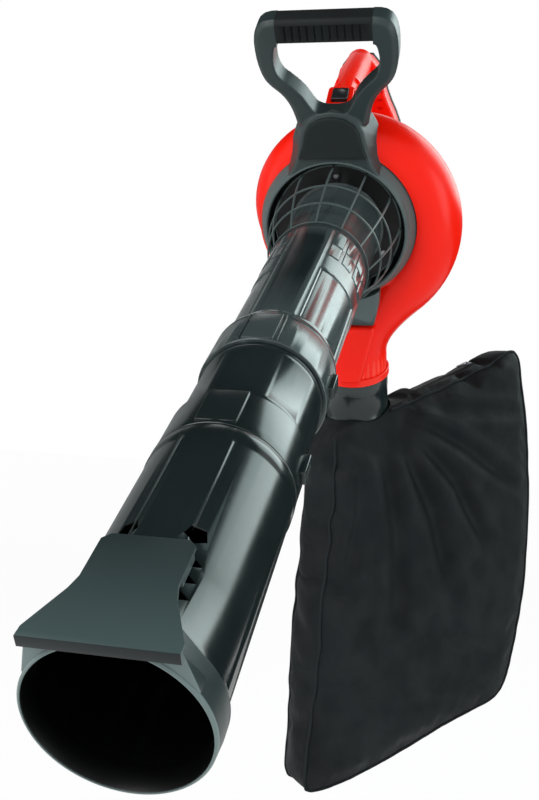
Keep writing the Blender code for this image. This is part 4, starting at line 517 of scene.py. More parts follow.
class Finish:
    """A material with its shader, and short names for the nodes that it is mixed from."""

    def __init__(self, name, roughness, **sockets):
        self.material = bpy.data.materials.new(name)
        self.material.use_nodes = True
        self.tree = self.material.node_tree
        self.shader = self.tree.nodes["Principled BSDF"]
        self.place = self.add("ShaderNodeTexCoord").outputs["Object"]
        self.shader.inputs["Roughness"].default_value = roughness
        for socket, value in sockets.items():
            self.shader.inputs[socket.replace("_", " ")].default_value = value

    def add(self, kind, **settings):
        node = self.tree.nodes.new(kind)
        for key, value in settings.items():
            setattr(node, key, value)
        return node

    def join(self, source, target):
        self.tree.links.new(source, target)

    def stretched(self, scale):
        mapping = self.add("ShaderNodeMapping")
        mapping.inputs["Scale"].default_value = scale
        self.join(self.place, mapping.inputs["Vector"])
        return mapping.outputs["Vector"]

    def cloud(self, scale, detail=3.0, place=None):
        texture = self.add("ShaderNodeTexNoise")
        texture.inputs["Scale"].default_value = scale
        texture.inputs["Detail"].default_value = detail
        self.join(place or self.place, texture.inputs["Vector"])
        return texture.outputs["Fac"]

    def pebbles(self, scale):
        texture = self.add("ShaderNodeTexVoronoi")
        texture.inputs["Scale"].default_value = scale
        self.join(self.place, texture.inputs["Vector"])
        return texture.outputs["Distance"]

    def stripes(self, scale, direction, place=None, distortion=0.0):
        texture = self.add("ShaderNodeTexWave", bands_direction=direction)
        texture.inputs["Scale"].default_value = scale
        texture.inputs["Distortion"].default_value = distortion
        self.join(place or self.place, texture.inputs["Vector"])
        return texture.outputs["Fac"]

    def between(self, source, low, high, start=0.0, end=1.0):
        """Spreads a value from low..high to start..end, and no further."""
        spread = self.add("ShaderNodeMapRange")
        for socket, value in zip(("From Min", "From Max", "To Min", "To Max"), (low, high, start, end)):
            spread.inputs[socket].default_value = value
        self.join(source, spread.inputs["Value"])
        return spread.outputs["Result"]

    def blended(self, amount, dark, light):
        """Colours from dark to light by an amount."""
        mix = self.add("ShaderNodeMix", data_type="RGBA")
        for index, colour in ((6, dark), (7, light)):
            if isinstance(colour, tuple):
                mix.inputs[index].default_value = (*colour, 1.0)
            else:
                self.join(colour, mix.inputs[index])
        if isinstance(amount, float):
            mix.inputs[0].default_value = amount
        else:
            self.join(amount, mix.inputs[0])
        return mix.outputs[2]

    def reckoned(self, operation, first, second):
        math_node = self.add("ShaderNodeMath", operation=operation)
        for index, value in enumerate((first, second)):
            if isinstance(value, (int, float)):
                math_node.inputs[index].default_value = value
            else:
                self.join(value, math_node.inputs[index])
        return math_node.outputs[0]

    def machine_place(self):
        """Distance from the suction tube's axis, and how far ahead along it."""
        turn = self.add("ShaderNodeMapping")
        back = MACHINE.inverted()
        turn.inputs["Location"].default_value = back.to_translation()
        turn.inputs["Rotation"].default_value = back.to_euler()
        self.join(self.place, turn.inputs["Vector"])
        split = self.add("ShaderNodeSeparateXYZ")
        self.join(turn.outputs["Vector"], split.inputs["Vector"])
        across, up, ahead = split.outputs
        square = self.reckoned("ADD", self.reckoned("MULTIPLY", across, across),
                               self.reckoned("MULTIPLY", up, up))
        return self.reckoned("SQRT", square, 0.0), ahead

    def worn(self):
        """How far a spot is a rubbed edge."""
        return self.between(self.add("ShaderNodeNewGeometry").outputs["Pointiness"], 0.53, 0.61)

    def coloured(self, source):
        self.join(source, self.shader.inputs["Base Color"])

    def glossed(self, source):
        self.join(source, self.shader.inputs["Roughness"])

    def raised(self, *layers):
        """Bumps, each as (height, depth in metres)."""
        normal = None
        for height, depth in layers:
            bump = self.add("ShaderNodeBump")
            bump.inputs["Strength"].default_value = 1.0
            bump.inputs["Distance"].default_value = depth
            self.join(height, bump.inputs["Height"])
            if normal:
                self.join(normal, bump.inputs["Normal"])
            normal = bump.outputs["Normal"]
        self.join(normal, self.shader.inputs["Normal"])


def moulded(name, dark, light, edge, roughness, grain_depth, grain=1100.0, painted_light_and_shade=None, **sockets):
    """Injection moulded plastic: spark grain, slow drift of colour and rubbed edges, and painted light and
    shade where given.
    """
    finish = Finish(name, roughness, **sockets)
    drift = finish.between(finish.cloud(9.0), 0.35, 0.65)
    shade = finish.blended(finish.worn(), finish.blended(drift, dark, light), edge)
    # Painted light and shade, where given, is laid over the base colour
    finish.coloured(painted_light_and_shade(finish, shade) if painted_light_and_shade else shade)
    dust = finish.between(finish.cloud(70.0, 3.0), 0.40, 0.75)
    finish.glossed(finish.between(dust, 0.0, 1.0, roughness - 0.015, roughness + 0.025))
    finish.raised((finish.cloud(grain, 2.0), grain_depth), (finish.cloud(16.0, 1.0), 0.0002))
    return finish.material


def painted_bore_shade(bore):
    """Painted shade: turns everything within a bore radius of the tube's axis dead black, as the shade
    inside a bore.
    """
    def painted_light_and_shade(finish, shade):
        radius, _ = finish.machine_place()
        outside = finish.between(radius, bore, bore + 0.0003)
        # Painted shade: near black inside the bore
        return finish.blended(outside, (0.0012, 0.0014, 0.0014), shade)
    return painted_light_and_shade


# Painted highlight: the cage is painted half way to a pale slate, for the light that catches its thin ribs
def painted_cage_highlight(finish, shade):
    return finish.blended(0.5, shade, (0.110, 0.145, 0.145))


def painted_front_sheen(finish, shade):
    """Painted light and shade: the nozzle ring's front facets are painted paler than its sides as a painted
    sheen, and its inside is painted black as painted shade.
    """
    _, ahead = finish.machine_place()
    # Painted sheen: the front facets get a paler slate
    front = finish.between(ahead, MOUTH_AHEAD - 0.0034, MOUTH_AHEAD - 0.0026)
    return painted_bore_shade(0.0650)(finish, finish.blended(front, shade, (0.150, 0.200, 0.198)))


def painted_plate_light(finish, shade):
    """Painted light and shade: the plate is painted from dark at its back to paler in front as a painted
    highlight, and its lip is painted dark as painted shade.
    """
    _, ahead = finish.machine_place()
    # Painted highlight: dark at the back, pale at the front
    fade = finish.between(ahead, PLATE_BACK, MOUTH_AHEAD + 0.002)
    top = finish.blended(fade, (0.0145, 0.0235, 0.0245), (0.0690, 0.1060, 0.1060))
    # Painted shade on the front lip
    lip = finish.between(ahead, MOUTH_AHEAD + 0.0045, MOUTH_AHEAD + 0.0049)
    return finish.blended(lip, finish.blended(0.35, top, shade), (0.0090, 0.0140, 0.0145))


def red_shell():
    return moulded("glossy red plastic", (0.92, 0.008, 0.0012), (0.97, 0.012, 0.0020),
                   (0.97, 0.05, 0.03), 0.33, 0.000003, Specular_IOR_Level=0.14,
                   Coat_Weight=0.12, Coat_Roughness=0.24)


def black_shell(name="satin black plastic", painted_light_and_shade=None):
    return moulded(name, (0.0085, 0.0135, 0.0142), (0.0120, 0.0185, 0.0194),
                   (0.045, 0.060, 0.062), 0.20, 0.000003, painted_light_and_shade=painted_light_and_shade, Specular_IOR_Level=0.40)


def slate_shell(name, painted_light_and_shade=None):
    return moulded(name, (0.0230, 0.0345, 0.0355), (0.0300, 0.0440, 0.0450),
                   (0.085, 0.112, 0.112), 0.38, 0.000006, painted_light_and_shade=painted_light_and_shade, Specular_IOR_Level=0.30)


def dull_panel():
    return moulded("dull black plastic", (0.0075, 0.0115, 0.0120), (0.0105, 0.0155, 0.0160),
                   (0.03, 0.038, 0.038), 0.50, 0.000016, 900.0, Specular_IOR_Level=0.22)


def button_black():
    return moulded("button black plastic", (0.014, 0.015, 0.017), (0.020, 0.021, 0.024),
                   (0.07, 0.07, 0.075), 0.36, 0.000008)


def grip_rubber():
    finish = Finish("soft grip rubber", 0.60, Specular_IOR_Level=0.15)
    drift = finish.between(finish.cloud(22.0), 0.35, 0.65)
    body = finish.blended(drift, (0.0038, 0.0052, 0.0054), (0.0062, 0.0084, 0.0088))
    finish.coloured(finish.blended(finish.worn(), body, (0.030, 0.033, 0.034)))
    pores = finish.pebbles(1300.0)
    finish.glossed(finish.between(pores, 0.0, 0.8, 0.50, 0.66))
    finish.raised((pores, 0.000040), (finish.cloud(420.0), 0.000020))
    return finish.material


def pale_nylon():
    return moulded("natural nylon", (0.62, 0.60, 0.52), (0.70, 0.68, 0.60), (0.80, 0.79, 0.74),
                   0.48, 0.000012, 800.0)


def metal(name, colour, roughness, stretch=(1.0, 1.0, 60.0), scratch=0.000004):
    finish = Finish(name, roughness, Metallic=1.0)
    drawn_lines = finish.cloud(180.0, 4.0, finish.stretched(stretch))
    stain = finish.between(finish.cloud(35.0, 5.0), 0.40, 0.70)
    dim = tuple(channel * 0.72 for channel in colour)
    finish.coloured(finish.blended(stain, colour, dim))
    finish.glossed(finish.between(drawn_lines, 0.3, 0.7, roughness - 0.06, roughness + 0.10))
    finish.raised((drawn_lines, scratch))
    return finish.material


def stacked_sheets():
    finish = Finish("stacked steel sheets", 0.42, Metallic=1.0)
    sheets = finish.stripes(640.0, "Y", finish.stretched((1.0, 0.866, 0.5)))
    finish.coloured(finish.blended(sheets, (0.10, 0.10, 0.11), (0.34, 0.34, 0.36)))
    finish.raised((sheets, 0.00004))
    return finish.material


def wound_copper():
    finish = Finish("lacquered copper wire", 0.30, Metallic=0.9)
    wires = finish.stripes(420.0, "X", distortion=0.6)
    finish.coloured(finish.blended(wires, (0.30, 0.09, 0.03), (0.72, 0.30, 0.13)))
    finish.raised((wires, 0.0003))
    return finish.material


def brush_carbon():
    finish = Finish("brush carbon", 0.62)
    fleck = finish.cloud(900.0, 5.0)
    finish.coloured(finish.blended(fleck, (0.010, 0.010, 0.011), (0.045, 0.045, 0.048)))
    finish.raised((fleck, 0.00002))
    return finish.material


def bag_weave():
    """Black woven nylon: warp and weft threads along the cloth's own width and height."""
    finish = Finish("black woven bag cloth", 0.74, Sheen_Weight=0.02, Sheen_Roughness=0.35,
                    Specular_IOR_Level=0.22)
    cut = finish.add("ShaderNodeUVMap", uv_map="cloth").outputs["UV"]
    warp = finish.stripes(210.0, "X", cut)
    weft = finish.stripes(210.0, "Y", cut)
    weave = finish.reckoned("MAXIMUM", warp, weft)
    faded = finish.between(finish.cloud(7.0, 4.0), 0.35, 0.70)
    raised_thread = finish.between(weave, 0.3, 1.0)
    thread = finish.blended(raised_thread, (0.0010, 0.0016, 0.0021), (0.0050, 0.0074, 0.0090))
    dusty = finish.blended(raised_thread, (0.0020, 0.0031, 0.0038), (0.0098, 0.0140, 0.0165))
    finish.coloured(finish.blended(faded, thread, dusty))
    finish.glossed(finish.between(finish.cloud(25.0, 3.0), 0.35, 0.65, 0.64, 0.82))
    crumple = finish.cloud(46.0, 4.0, finish.stretched((1.0, 1.0, 0.45)))
    finish.raised((weave, 0.00012), (crumple, 0.0016))
    return finish.material


def piping_tape():
    """Folded binding tape on the bag's seams, with close diagonal ribs."""
    finish = Finish("black binding tape", 0.75, Specular_IOR_Level=0.2)
    ribs = finish.stripes(330.0, "DIAGONAL")
    finish.coloured(finish.blended(ribs, (0.003, 0.0045, 0.0055), (0.016, 0.022, 0.025)))
    finish.raised((ribs, 0.00015))
    return finish.material


def zip_tape():
    finish = Finish("zip tape", 0.60, Specular_IOR_Level=0.3)
    ribs = finish.stripes(420.0, "DIAGONAL")
    finish.coloured(finish.blended(ribs, (0.010, 0.012, 0.013), (0.050, 0.056, 0.060)))
    finish.raised((ribs, 0.0001))
    return finish.material


RED = red_shell()
BLACK = black_shell()
# Painted shade: the lower tube's bore and the intake dish are painted near black, for the shade inside them
BLACK_WITH_PAINTED_BORE_SHADE = black_shell("satin black plastic with painted shade in its bore",
                          painted_bore_shade(LOWER_TUBE_RADIUS - 0.0016))
COVER_SLATE = slate_shell("slate plastic with painted shade in its dish",
                          painted_bore_shade(COVER_FRONT_RADIUS - 0.0040))
HANDLE_SLATE = slate_shell("slate handle plastic")
DULL_BLACK = black_shell("dull satin black plastic")
GUARD_SLATE = slate_shell("slate cage plastic with painted highlight", painted_cage_highlight)
PLATE_SLATE = slate_shell("matt slate plate with painted light and shade", painted_plate_light)
MOUTH_SLATE = slate_shell("slate mouth plastic with painted sheen and shade", painted_front_sheen)
PANEL = dull_panel()
BUTTON = button_black()
RUBBER = grip_rubber()
NYLON = pale_nylon()
STEEL = metal("bright steel", (0.62, 0.62, 0.64), 0.28)
SPRING = metal("drawn spring wire", (0.56, 0.55, 0.53), 0.24)
ALLOY = metal("cast light alloy", (0.70, 0.71, 0.72), 0.40, (1.0, 1.0, 1.0), 0.00002)
ZINC = metal("plated screw steel", (0.30, 0.30, 0.32), 0.34, (1.0, 1.0, 1.0))
LAMINATION = stacked_sheets()
COPPER = wound_copper()
CARBON = brush_carbon()
CLOTH = bag_weave()
PIPING = piping_tape()
ZIP_TAPE = zip_tape()


# Suction tube

def angle_of(spot):
    """Angle round the tube from its top, to the right, in degrees."""
    return math.degrees(math.atan2(spot.x, spot.y))


def let_in(piece, radius, depth, thickness, spans, aheads):
    """Lets panels into a round wall, or lifts them out of it where the depth is negative."""
    low, high = aheads

    def on_panel(face):
        spot = face.calc_center_median()
        angle = angle_of(spot)
        around = math.hypot(spot.x, spot.y)
        return (abs(around - radius) < 0.0008 and abs(face.normal.z) < 0.3
                and low < spot.z < high and any(start < angle < end for start, end in spans))

    faces_inset(piece, on_panel, thickness, -depth, use_even_offset=True, use_boundary=True)


def ring_stops(start, end, stops):
    """Profile corners along a straight wall, so that panels have edges to end at."""
    (start_radius, start_ahead), (end_radius, end_ahead) = start, end
    corners = []
    for stop in stops:
        share = (stop - start_ahead) / (end_ahead - start_ahead)
        corners.append((mixed(start_radius, end_radius, share), stop))
    return corners


def upper_tube():
    """Upper section: two rows of pads and long panels on a sleeve, and the keyed socket."""
    wall, high = UPPER_TUBE_RADIUS, UPPER_TUBE_END
    bore, sleeve, socket_floor = wall - TUBE_WALL, wall + 0.0007, high - SOCKET_DEPTH
    low = 0.1320
    stops = (0.3790, 0.3745, 0.2500, 0.2445, 0.2130, 0.2105, 0.1800, 0.1775, 0.1410, 0.1385)
    tube = turned("upper_tube_moulding", [
        (SOCKET_INNER, high), (SOCKET_OUTER - 0.001, high), (SOCKET_OUTER, high - 0.001),
        (SOCKET_OUTER, 0.3965), (SOCKET_OUTER - 0.0006, 0.3950), (SOCKET_OUTER - 0.0006, 0.3938),
        (SOCKET_OUTER, 0.3925), (SOCKET_OUTER - 0.0008, 0.3885), (wall + 0.0008, 0.3808),
        *ring_stops((sleeve, 0.3800), (sleeve, low), stops),
        (wall, low - 0.001), (wall, TUBE_ROOT + 0.004), (wall + 0.0035, TUBE_ROOT + 0.004),
        (wall + 0.0035, TUBE_ROOT), (bore, TUBE_ROOT), (bore, socket_floor),
        (SOCKET_INNER, socket_floor)])
    sides = ((26.25, 86.25), (93.75, 153.75), (-86.25, -26.25), (-153.75, -93.75))
    pads = [(start, start + 15.0) for start in (26.25, 45.0, 63.75, 82.5, -41.25, -60.0, -78.75, -97.5)]
    let_in(tube, sleeve, 0.0012, 0.0016, sides, (0.2500, 0.3745))
    let_in(tube, sleeve, -0.0009, 0.0010, pads, (0.1800, 0.2105))
    let_in(tube, sleeve, -0.0009, 0.0010, pads, (0.1410, 0.1775))
    let_in(tube, sleeve, -0.0007, 0.0012, ((-22.5, 22.5),), (0.1385, 0.3790))
    key_top = SOCKET_OUTER + 0.0002
    fused(tube, block("socket_key", (-0.0155, 0.0625, 0.3950), (0.0155, key_top, 0.4478), 0.0006))
    for side in (-1.0, 1.0):
        fused(tube, block("socket_rib", (side * 0.0190 - 0.0007, 0.0600, 0.3935),
                          (side * 0.0190 + 0.0007, SOCKET_OUTER - 0.0012, 0.4480), 0.0004, 2))
    carved(tube, catch_pocket(UPPER_CATCH_AHEAD))
    rounded(tube, MOULD_EDGE, 2)
    handed_over(tube, "housing", ["upper_tube"], DULL_BLACK)


def middle_tube():
    """Middle section, which plugs into the sockets above and below it."""
    start = UPPER_TUBE_END - SOCKET_DEPTH + GAP
    end = LOWER_TUBE_START + SOCKET_DEPTH - GAP
    wall, bore = MIDDLE_TUBE_RADIUS, MIDDLE_TUBE_RADIUS - TUBE_WALL
    tube = turned("middle_tube_moulding", [
        (bore, start), (wall - 0.0008, start), (wall, start + 0.0008), (wall, 0.4545),
        (wall - 0.0005, 0.4550), (wall - 0.0005, 0.4565), (wall, 0.4570), (wall, 0.4630), (wall, 0.5380),
        (wall, 0.5440), (wall - 0.0005, 0.5445), (wall - 0.0005, 0.5460), (wall, 0.5465),
        (wall, end - 0.0008), (wall - 0.0008, end), (bore, end)])
    let_in(tube, wall, 0.0007, 0.0020, ((26.25, 63.75), (-63.75, -26.25)), (0.4630, 0.5380))
    rounded(tube, 0.0003, 2)
    handed_over(tube, "housing", ["middle_tube"], BLACK)


def wall_cutter(name, radius, corners, pointing, angle, ahead):
    """A bar with a few corners that stands through the tube's wall, pointing along it."""
    return seated(rod(name, radius, 0.050, 0.090, corners),
                  Matrix.Rotation(math.radians(pointing), 4, "Z"),
                  Matrix.Rotation(math.radians(angle), 4, "Z") @ Matrix.Translation((0.0, 0.0, ahead))
                  @ Matrix.Rotation(math.radians(-90), 4, "X"))


def lower_tube():
    """Lower section: its socket, sunk side panels, ribs, and the plate's rack of openings."""
    wall = LOWER_TUBE_RADIUS
    bore, fit = wall - TUBE_WALL, MIDDLE_TUBE_RADIUS - TUBE_WALL
    stops = (0.8300, 0.7750, 0.7560, 0.6240, 0.6190, 0.6070)
    tube = turned("lower_tube_moulding", [
        (bore, LOWER_TUBE_END), (wall, LOWER_TUBE_END),
        *ring_stops((wall, 0.8400), (wall, 0.6060), stops),
        (wall - 0.0008, 0.6055), (wall - 0.0008, 0.6035), (wall - 0.0003, 0.6030),
        (SOCKET_OUTER, 0.5930), (SOCKET_OUTER, LOWER_TUBE_START + 0.001),
        (SOCKET_OUTER - 0.001, LOWER_TUBE_START), (SOCKET_INNER, LOWER_TUBE_START),
        (SOCKET_INNER, 0.5930), (fit, 0.5930), (fit, 0.5955), (bore, 0.6050)])
    sides = ((18.75, 86.25), (93.75, 153.75), (-86.25, -18.75), (-153.75, -93.75))
    let_in(tube, wall, 0.0010, 0.0022, sides, (0.6190, 0.8300))
    tab_top = SOCKET_OUTER + 0.0003
    fused(tube, block("socket_tab", (-0.0180, 0.0600, 0.5500), (0.0180, tab_top, 0.5990), 0.0006))
    for side in (-1.0, 1.0):
        rib = block("tube_rib", (-0.0006, 0.0600, 0.6250), (0.0006, wall + 0.0004, 0.7550), 0.0003, 2)
        fused(tube, seated(rib, Matrix.Rotation(math.radians(side * 19.0), 4, "Z")))
        window = wall_cutter("window_cutter", 0.0098, 5, 180.0, -side * 23.0, 0.743)
        notches = [wall_cutter("notch_cutter", 0.0085, 3, -side * 90.0, -side * 27.5, 0.770 + 0.0165 * index)
                   for index in range(3)]
        carved(tube, joined([window, *notches]))
    carved(tube, catch_pocket(LOWER_CATCH_AHEAD))
    rounded(tube, MOULD_EDGE, 2)
    handed_over(tube, "housing", ["lower_tube"], BLACK_WITH_PAINTED_BORE_SHADE)


def mouth_hood():
    """The flat-topped hood over the round mouth, wider in front."""
    foot = math.sqrt(HOOD_UP ** 2 - HOOD_FOOT_UP ** 2) - 0.0005

    def section(half_width, ahead):
        half = ((foot, HOOD_FOOT_UP), (half_width, HOOD_UP - 0.004), (half_width - 0.004, HOOD_UP))
        return [(x, y, ahead) for x, y in mirrored(half)]

    hood = lofted("mouth_hood", section(HOOD_BACK_HALF_WIDTH, MOUTH_BACK),
                  section(HOOD_HALF_WIDTH, MOUTH_AHEAD - 0.002))
    return rounded(hood, 0.0016)


def nozzle_ring():
    """End ring of the tube, with a thin rim and its hood."""
    bore, outer, seat = 0.0635, 0.0675, 0.0663
    ring = turned("nozzle_ring_moulding", [
        (0.0652, MOUTH_AHEAD), (outer - 0.0012, MOUTH_AHEAD), (outer, MOUTH_AHEAD - 0.0012),
        (0.0686, 0.8500), (0.0688, 0.8483), (0.0688, MOUTH_BACK + 0.001), (0.0678, MOUTH_BACK),
        (seat, MOUTH_BACK), (seat, LOWER_TUBE_END + GAP), (bore, LOWER_TUBE_END + GAP), (bore, 0.8520)])
    back_room, front_room = seat + 0.0005, outer - 0.0005
    room = turned("mouth_cutter", ((back_room, 0.820), (back_room, 0.8483), (front_room, 0.8500),
                                   (front_room, 0.880)), closed=False)
    fused(ring, carved(mouth_hood(), room))
    rounded(ring, MOULD_EDGE, 2)
    handed_over(ring, "housing", ["nozzle_ring"], MOUTH_SLATE)


def scraper_plate():
    """Flaring plate with a turned-down lip in front and two rails below."""
    low = HOOD_UP + GAP
    top, front = low + PLATE_THICKNESS, MOUTH_AHEAD + 0.005
    half = ((0.028, PLATE_BACK), (PLATE_HALF_WIDTH, PLATE_BACK + 0.006),
            (PLATE_HALF_WIDTH, PLATE_BACK + 0.046), (0.037, PLATE_BACK + 0.058),
            (PLATE_FRONT_HALF_WIDTH, PLATE_BACK + 0.096), (PLATE_FRONT_HALF_WIDTH, front))
    outline = [(x, -ahead) for x, ahead in mirrored(half)]
    plate = seated(drawn("scraper_plate_moulding", outline, low, top),
                   Matrix.Rotation(math.radians(-90), 4, "X"))
    proud = 0.0001
    fused(plate, block("plate_lip", (-PLATE_FRONT_HALF_WIDTH - proud, top - 0.0085, MOUTH_AHEAD + GAP),
                       (PLATE_FRONT_HALF_WIDTH + proud, top + proud, front + proud)))
    rounded(plate, 0.0007, 3)
    rail_foot = math.sqrt(LOWER_TUBE_RADIUS ** 2 - 0.028 ** 2) + GAP
    for side in (-1.0, 1.0):
        fused(plate, block("plate_rail", (side * 0.030 - 0.002, rail_foot, PLATE_BACK + 0.006),
                           (side * 0.030 + 0.002, low + PLATE_THICKNESS / 2, PLATE_BACK + 0.034)))
    handed_over(plate, "plate", ["scraper_plate"], PLATE_SLATE)


def catch_pocket(ahead):
    """Cutter for the opening in a socket's right side that a catch fills."""
    return block("catch_pocket", (SOCKET_OUTER - 0.008, -0.0068, ahead - 0.0153),
                 (SOCKET_OUTER + 0.006, 0.0068, ahead + 0.0153))


def tube_catch(name, node, ahead, body):
    """Press-in catch with a ribbed thumb face."""
    base, top = SOCKET_INNER + CATCH_TRAVEL, SOCKET_OUTER + 0.0045
    catch = block(name, (base, -0.0065, ahead - 0.0150), (top, 0.0065, ahead + 0.0150), 0.0014)
    faces_inset(catch, lambda face: face.normal.x > 0.95, 0.0016, -0.0007)
    ribs = [block("catch_rib", (SOCKET_OUTER + 0.0030, -0.0040, ahead - 0.0092 + 0.0046 * step),
                  (SOCKET_OUTER + 0.0046, 0.0040, ahead - 0.0076 + 0.0046 * step), 0.0005, 2)
            for step in range(5)]
    fused(catch, joined(ribs))
    handed_over(catch, body, [node], BLACK)


# Intake cover and guard

COVER_SCREW_SPOTS = [polar(COVER_SCREW_CIRCLE, math.radians(90 + 120 * index)) for index in range(3)]


def intake_cover():
    """Ring and dish round the tube's root, with the tab over the outlet duct."""
    rim = COVER_FRONT_RADIUS
    back = -COVER_DEPTH
    cover = turned("intake_cover_moulding", [
        (rim - 0.0030, -0.0006), (rim - 0.0024, 0.0), (rim - 0.0006, 0.0), (rim, -0.0006),
        (0.1008, -0.0082), (0.1005, -0.0090), (0.1009, -0.0098), (0.1017, -0.0103),
        (COVER_BACK_RADIUS - 0.0004, back + 0.0010), (COVER_BACK_RADIUS, back), (0.1052, back),
        (0.0960, -0.0042), (0.0908, back), (0.0580, back), (0.0580, DISH_FLOOR), (DISH_RADIUS, DISH_FLOOR)])
    half = ((0.048, -0.080), (0.046, -0.110), (0.039, -0.141))
    outline = [(x + OUTLET_X, y) for x, y in mirrored(half)]
    tab = rounded(drawn("cover_tab", outline, back, -0.002), 0.0030, 4)
    ring_room = rod("tab_clearance", COVER_BACK_RADIUS - COVER_WALL, back - 0.01, 0.01, TUBE_STEPS)
    fused(cover, carved(tab, ring_room, scroll_body("tab_scroll_space", GAP)))
    carved(cover, screw_hole_cutter("cover_hole", back - 0.01, 0.0, COVER_SCREW_SPOTS))
    rounded(cover, MOULD_EDGE, 2)
    handed_over(cover, "housing", ["intake_cover"], COVER_SLATE)


def guard_radius(share):
    """Radius of the cage from its foot to its top, 0 to 1."""
    return mixed(GUARD_FOOT_RADIUS, UPPER_TUBE_RADIUS + 0.0020, share ** 2)


def intake_guard():
    """Bell-shaped cage: a thin bell whose windows are cut out, then given its wall."""
    foot = DISH_FLOOR + GAP
    height = GUARD_TOP - foot
    ring_half = 0.0015 / height
    rings = (0.0, 0.46, 0.74, 1.0)
    ring_edges = {min(1.0, max(0.0, ring + side * ring_half)) for ring in rings for side in (-1, 1)}
    shares = [step / 24 for step in range(1, 24)]
    shares = ring_edges.union(share for share in shares if all(abs(share - ring) > 0.03 for ring in rings))
    profile = [(guard_radius(share), foot + share * height) for share in sorted(shares)]
    cage = turned("intake_guard_cage", profile, GUARD_RIBS * GUARD_STEPS_PER_RIB, closed=None)

    def is_window(face):
        spot = face.calc_center_median()
        share = (spot.z - foot) / height
        past_rib = math.degrees(math.atan2(spot.y, spot.x)) % (360 / GUARD_RIBS)
        return past_rib > 1.9 and all(abs(share - ring) > ring_half * 1.05 for ring in rings)

    choose(cage, is_window)
    bpy.ops.mesh.delete(type="FACE")
    leave()
    applied(cage, "SOLIDIFY", thickness=0.0022, offset=0.0)
    rounded(cage, 0.0006, 2, 40.0)
    handed_over(cage, "housing", ["intake_guard"], GUARD_SLATE)


# Blower housing

def scroll_reach(turned_by):
    """How far out the snail reaches, after turning by an angle from its tongue."""
    share = turned_by / (SCROLL_START_ANGLE - SCROLL_END_ANGLE)
    return mixed(SCROLL_START_REACH, SCROLL_FULL_REACH, 1.0 - (1.0 - share) ** SCROLL_GROWTH_POWER)


def scroll_stations(clearance, end_up):
    """Centres and radii of the housing's round section, from the tongue to the outlet."""
    stations = []
    sweep = SCROLL_START_ANGLE - SCROLL_END_ANGLE
    for index in range(SCROLL_STATIONS + 1):
        turned_by = sweep * index / SCROLL_STATIONS
        section = mixed(SCROLL_START_SECTION, SCROLL_SECTION, min(1.0, turned_by / SCROLL_SWELL_ANGLE))
        x, y = polar(scroll_reach(turned_by) - section, SCROLL_START_ANGLE - turned_by)
        stations.append((Vector((x, y, SCROLL_AHEAD)), section + clearance))
    start = stations[-1][0]
    end = Vector((OUTLET_X, OUTLET_NECK_START_UP, SCROLL_AHEAD))
    first = start + Vector((math.sin(SCROLL_END_ANGLE), -math.cos(SCROLL_END_ANGLE), 0.0)) * SCROLL_HANDLE
    second = end + Vector((0.0, OUTLET_HANDLE, 0.0))
    for index in range(1, OUTLET_NECK_STATIONS + 1):
        share = index / OUTLET_NECK_STATIONS
        rest = 1.0 - share
        centre = (start * rest ** 3 + first * 3 * rest ** 2 * share
                  + second * 3 * rest * share ** 2 + end * share ** 3)
        stations.append((centre, mixed(SCROLL_SECTION, OUTLET_SECTION, share) + clearance))
    stations.append((Vector((OUTLET_X, end_up, SCROLL_AHEAD)), OUTLET_SECTION + clearance))
    return stations


def scroll_body(name, clearance, end_up=OUTLET_END_UP):
    return swept(name, scroll_stations(clearance, end_up), 64)


def drum_body(name, clearance):
    return rod(name, DRUM_RADIUS + clearance, DRUM_BACK - clearance,
               -COVER_DEPTH - GAP + clearance, TUBE_STEPS)


def boss_places():
    """Centres of the screws that close the snail."""
    reach = scroll_reach(SCROLL_START_ANGLE - math.radians(104))
    return [polar(reach + 0.0048, math.radians(104)), (-0.018, -0.122),
            (OUTLET_X - OUTLET_SECTION - 0.0048, -0.232)]


def pedestal_body(name, clearance, edge=0.0):
    return block(name, (-0.026 - clearance, 0.110, -0.106 - clearance),
                 (0.026 + clearance, 0.1485 + clearance, -0.048 + clearance), edge)


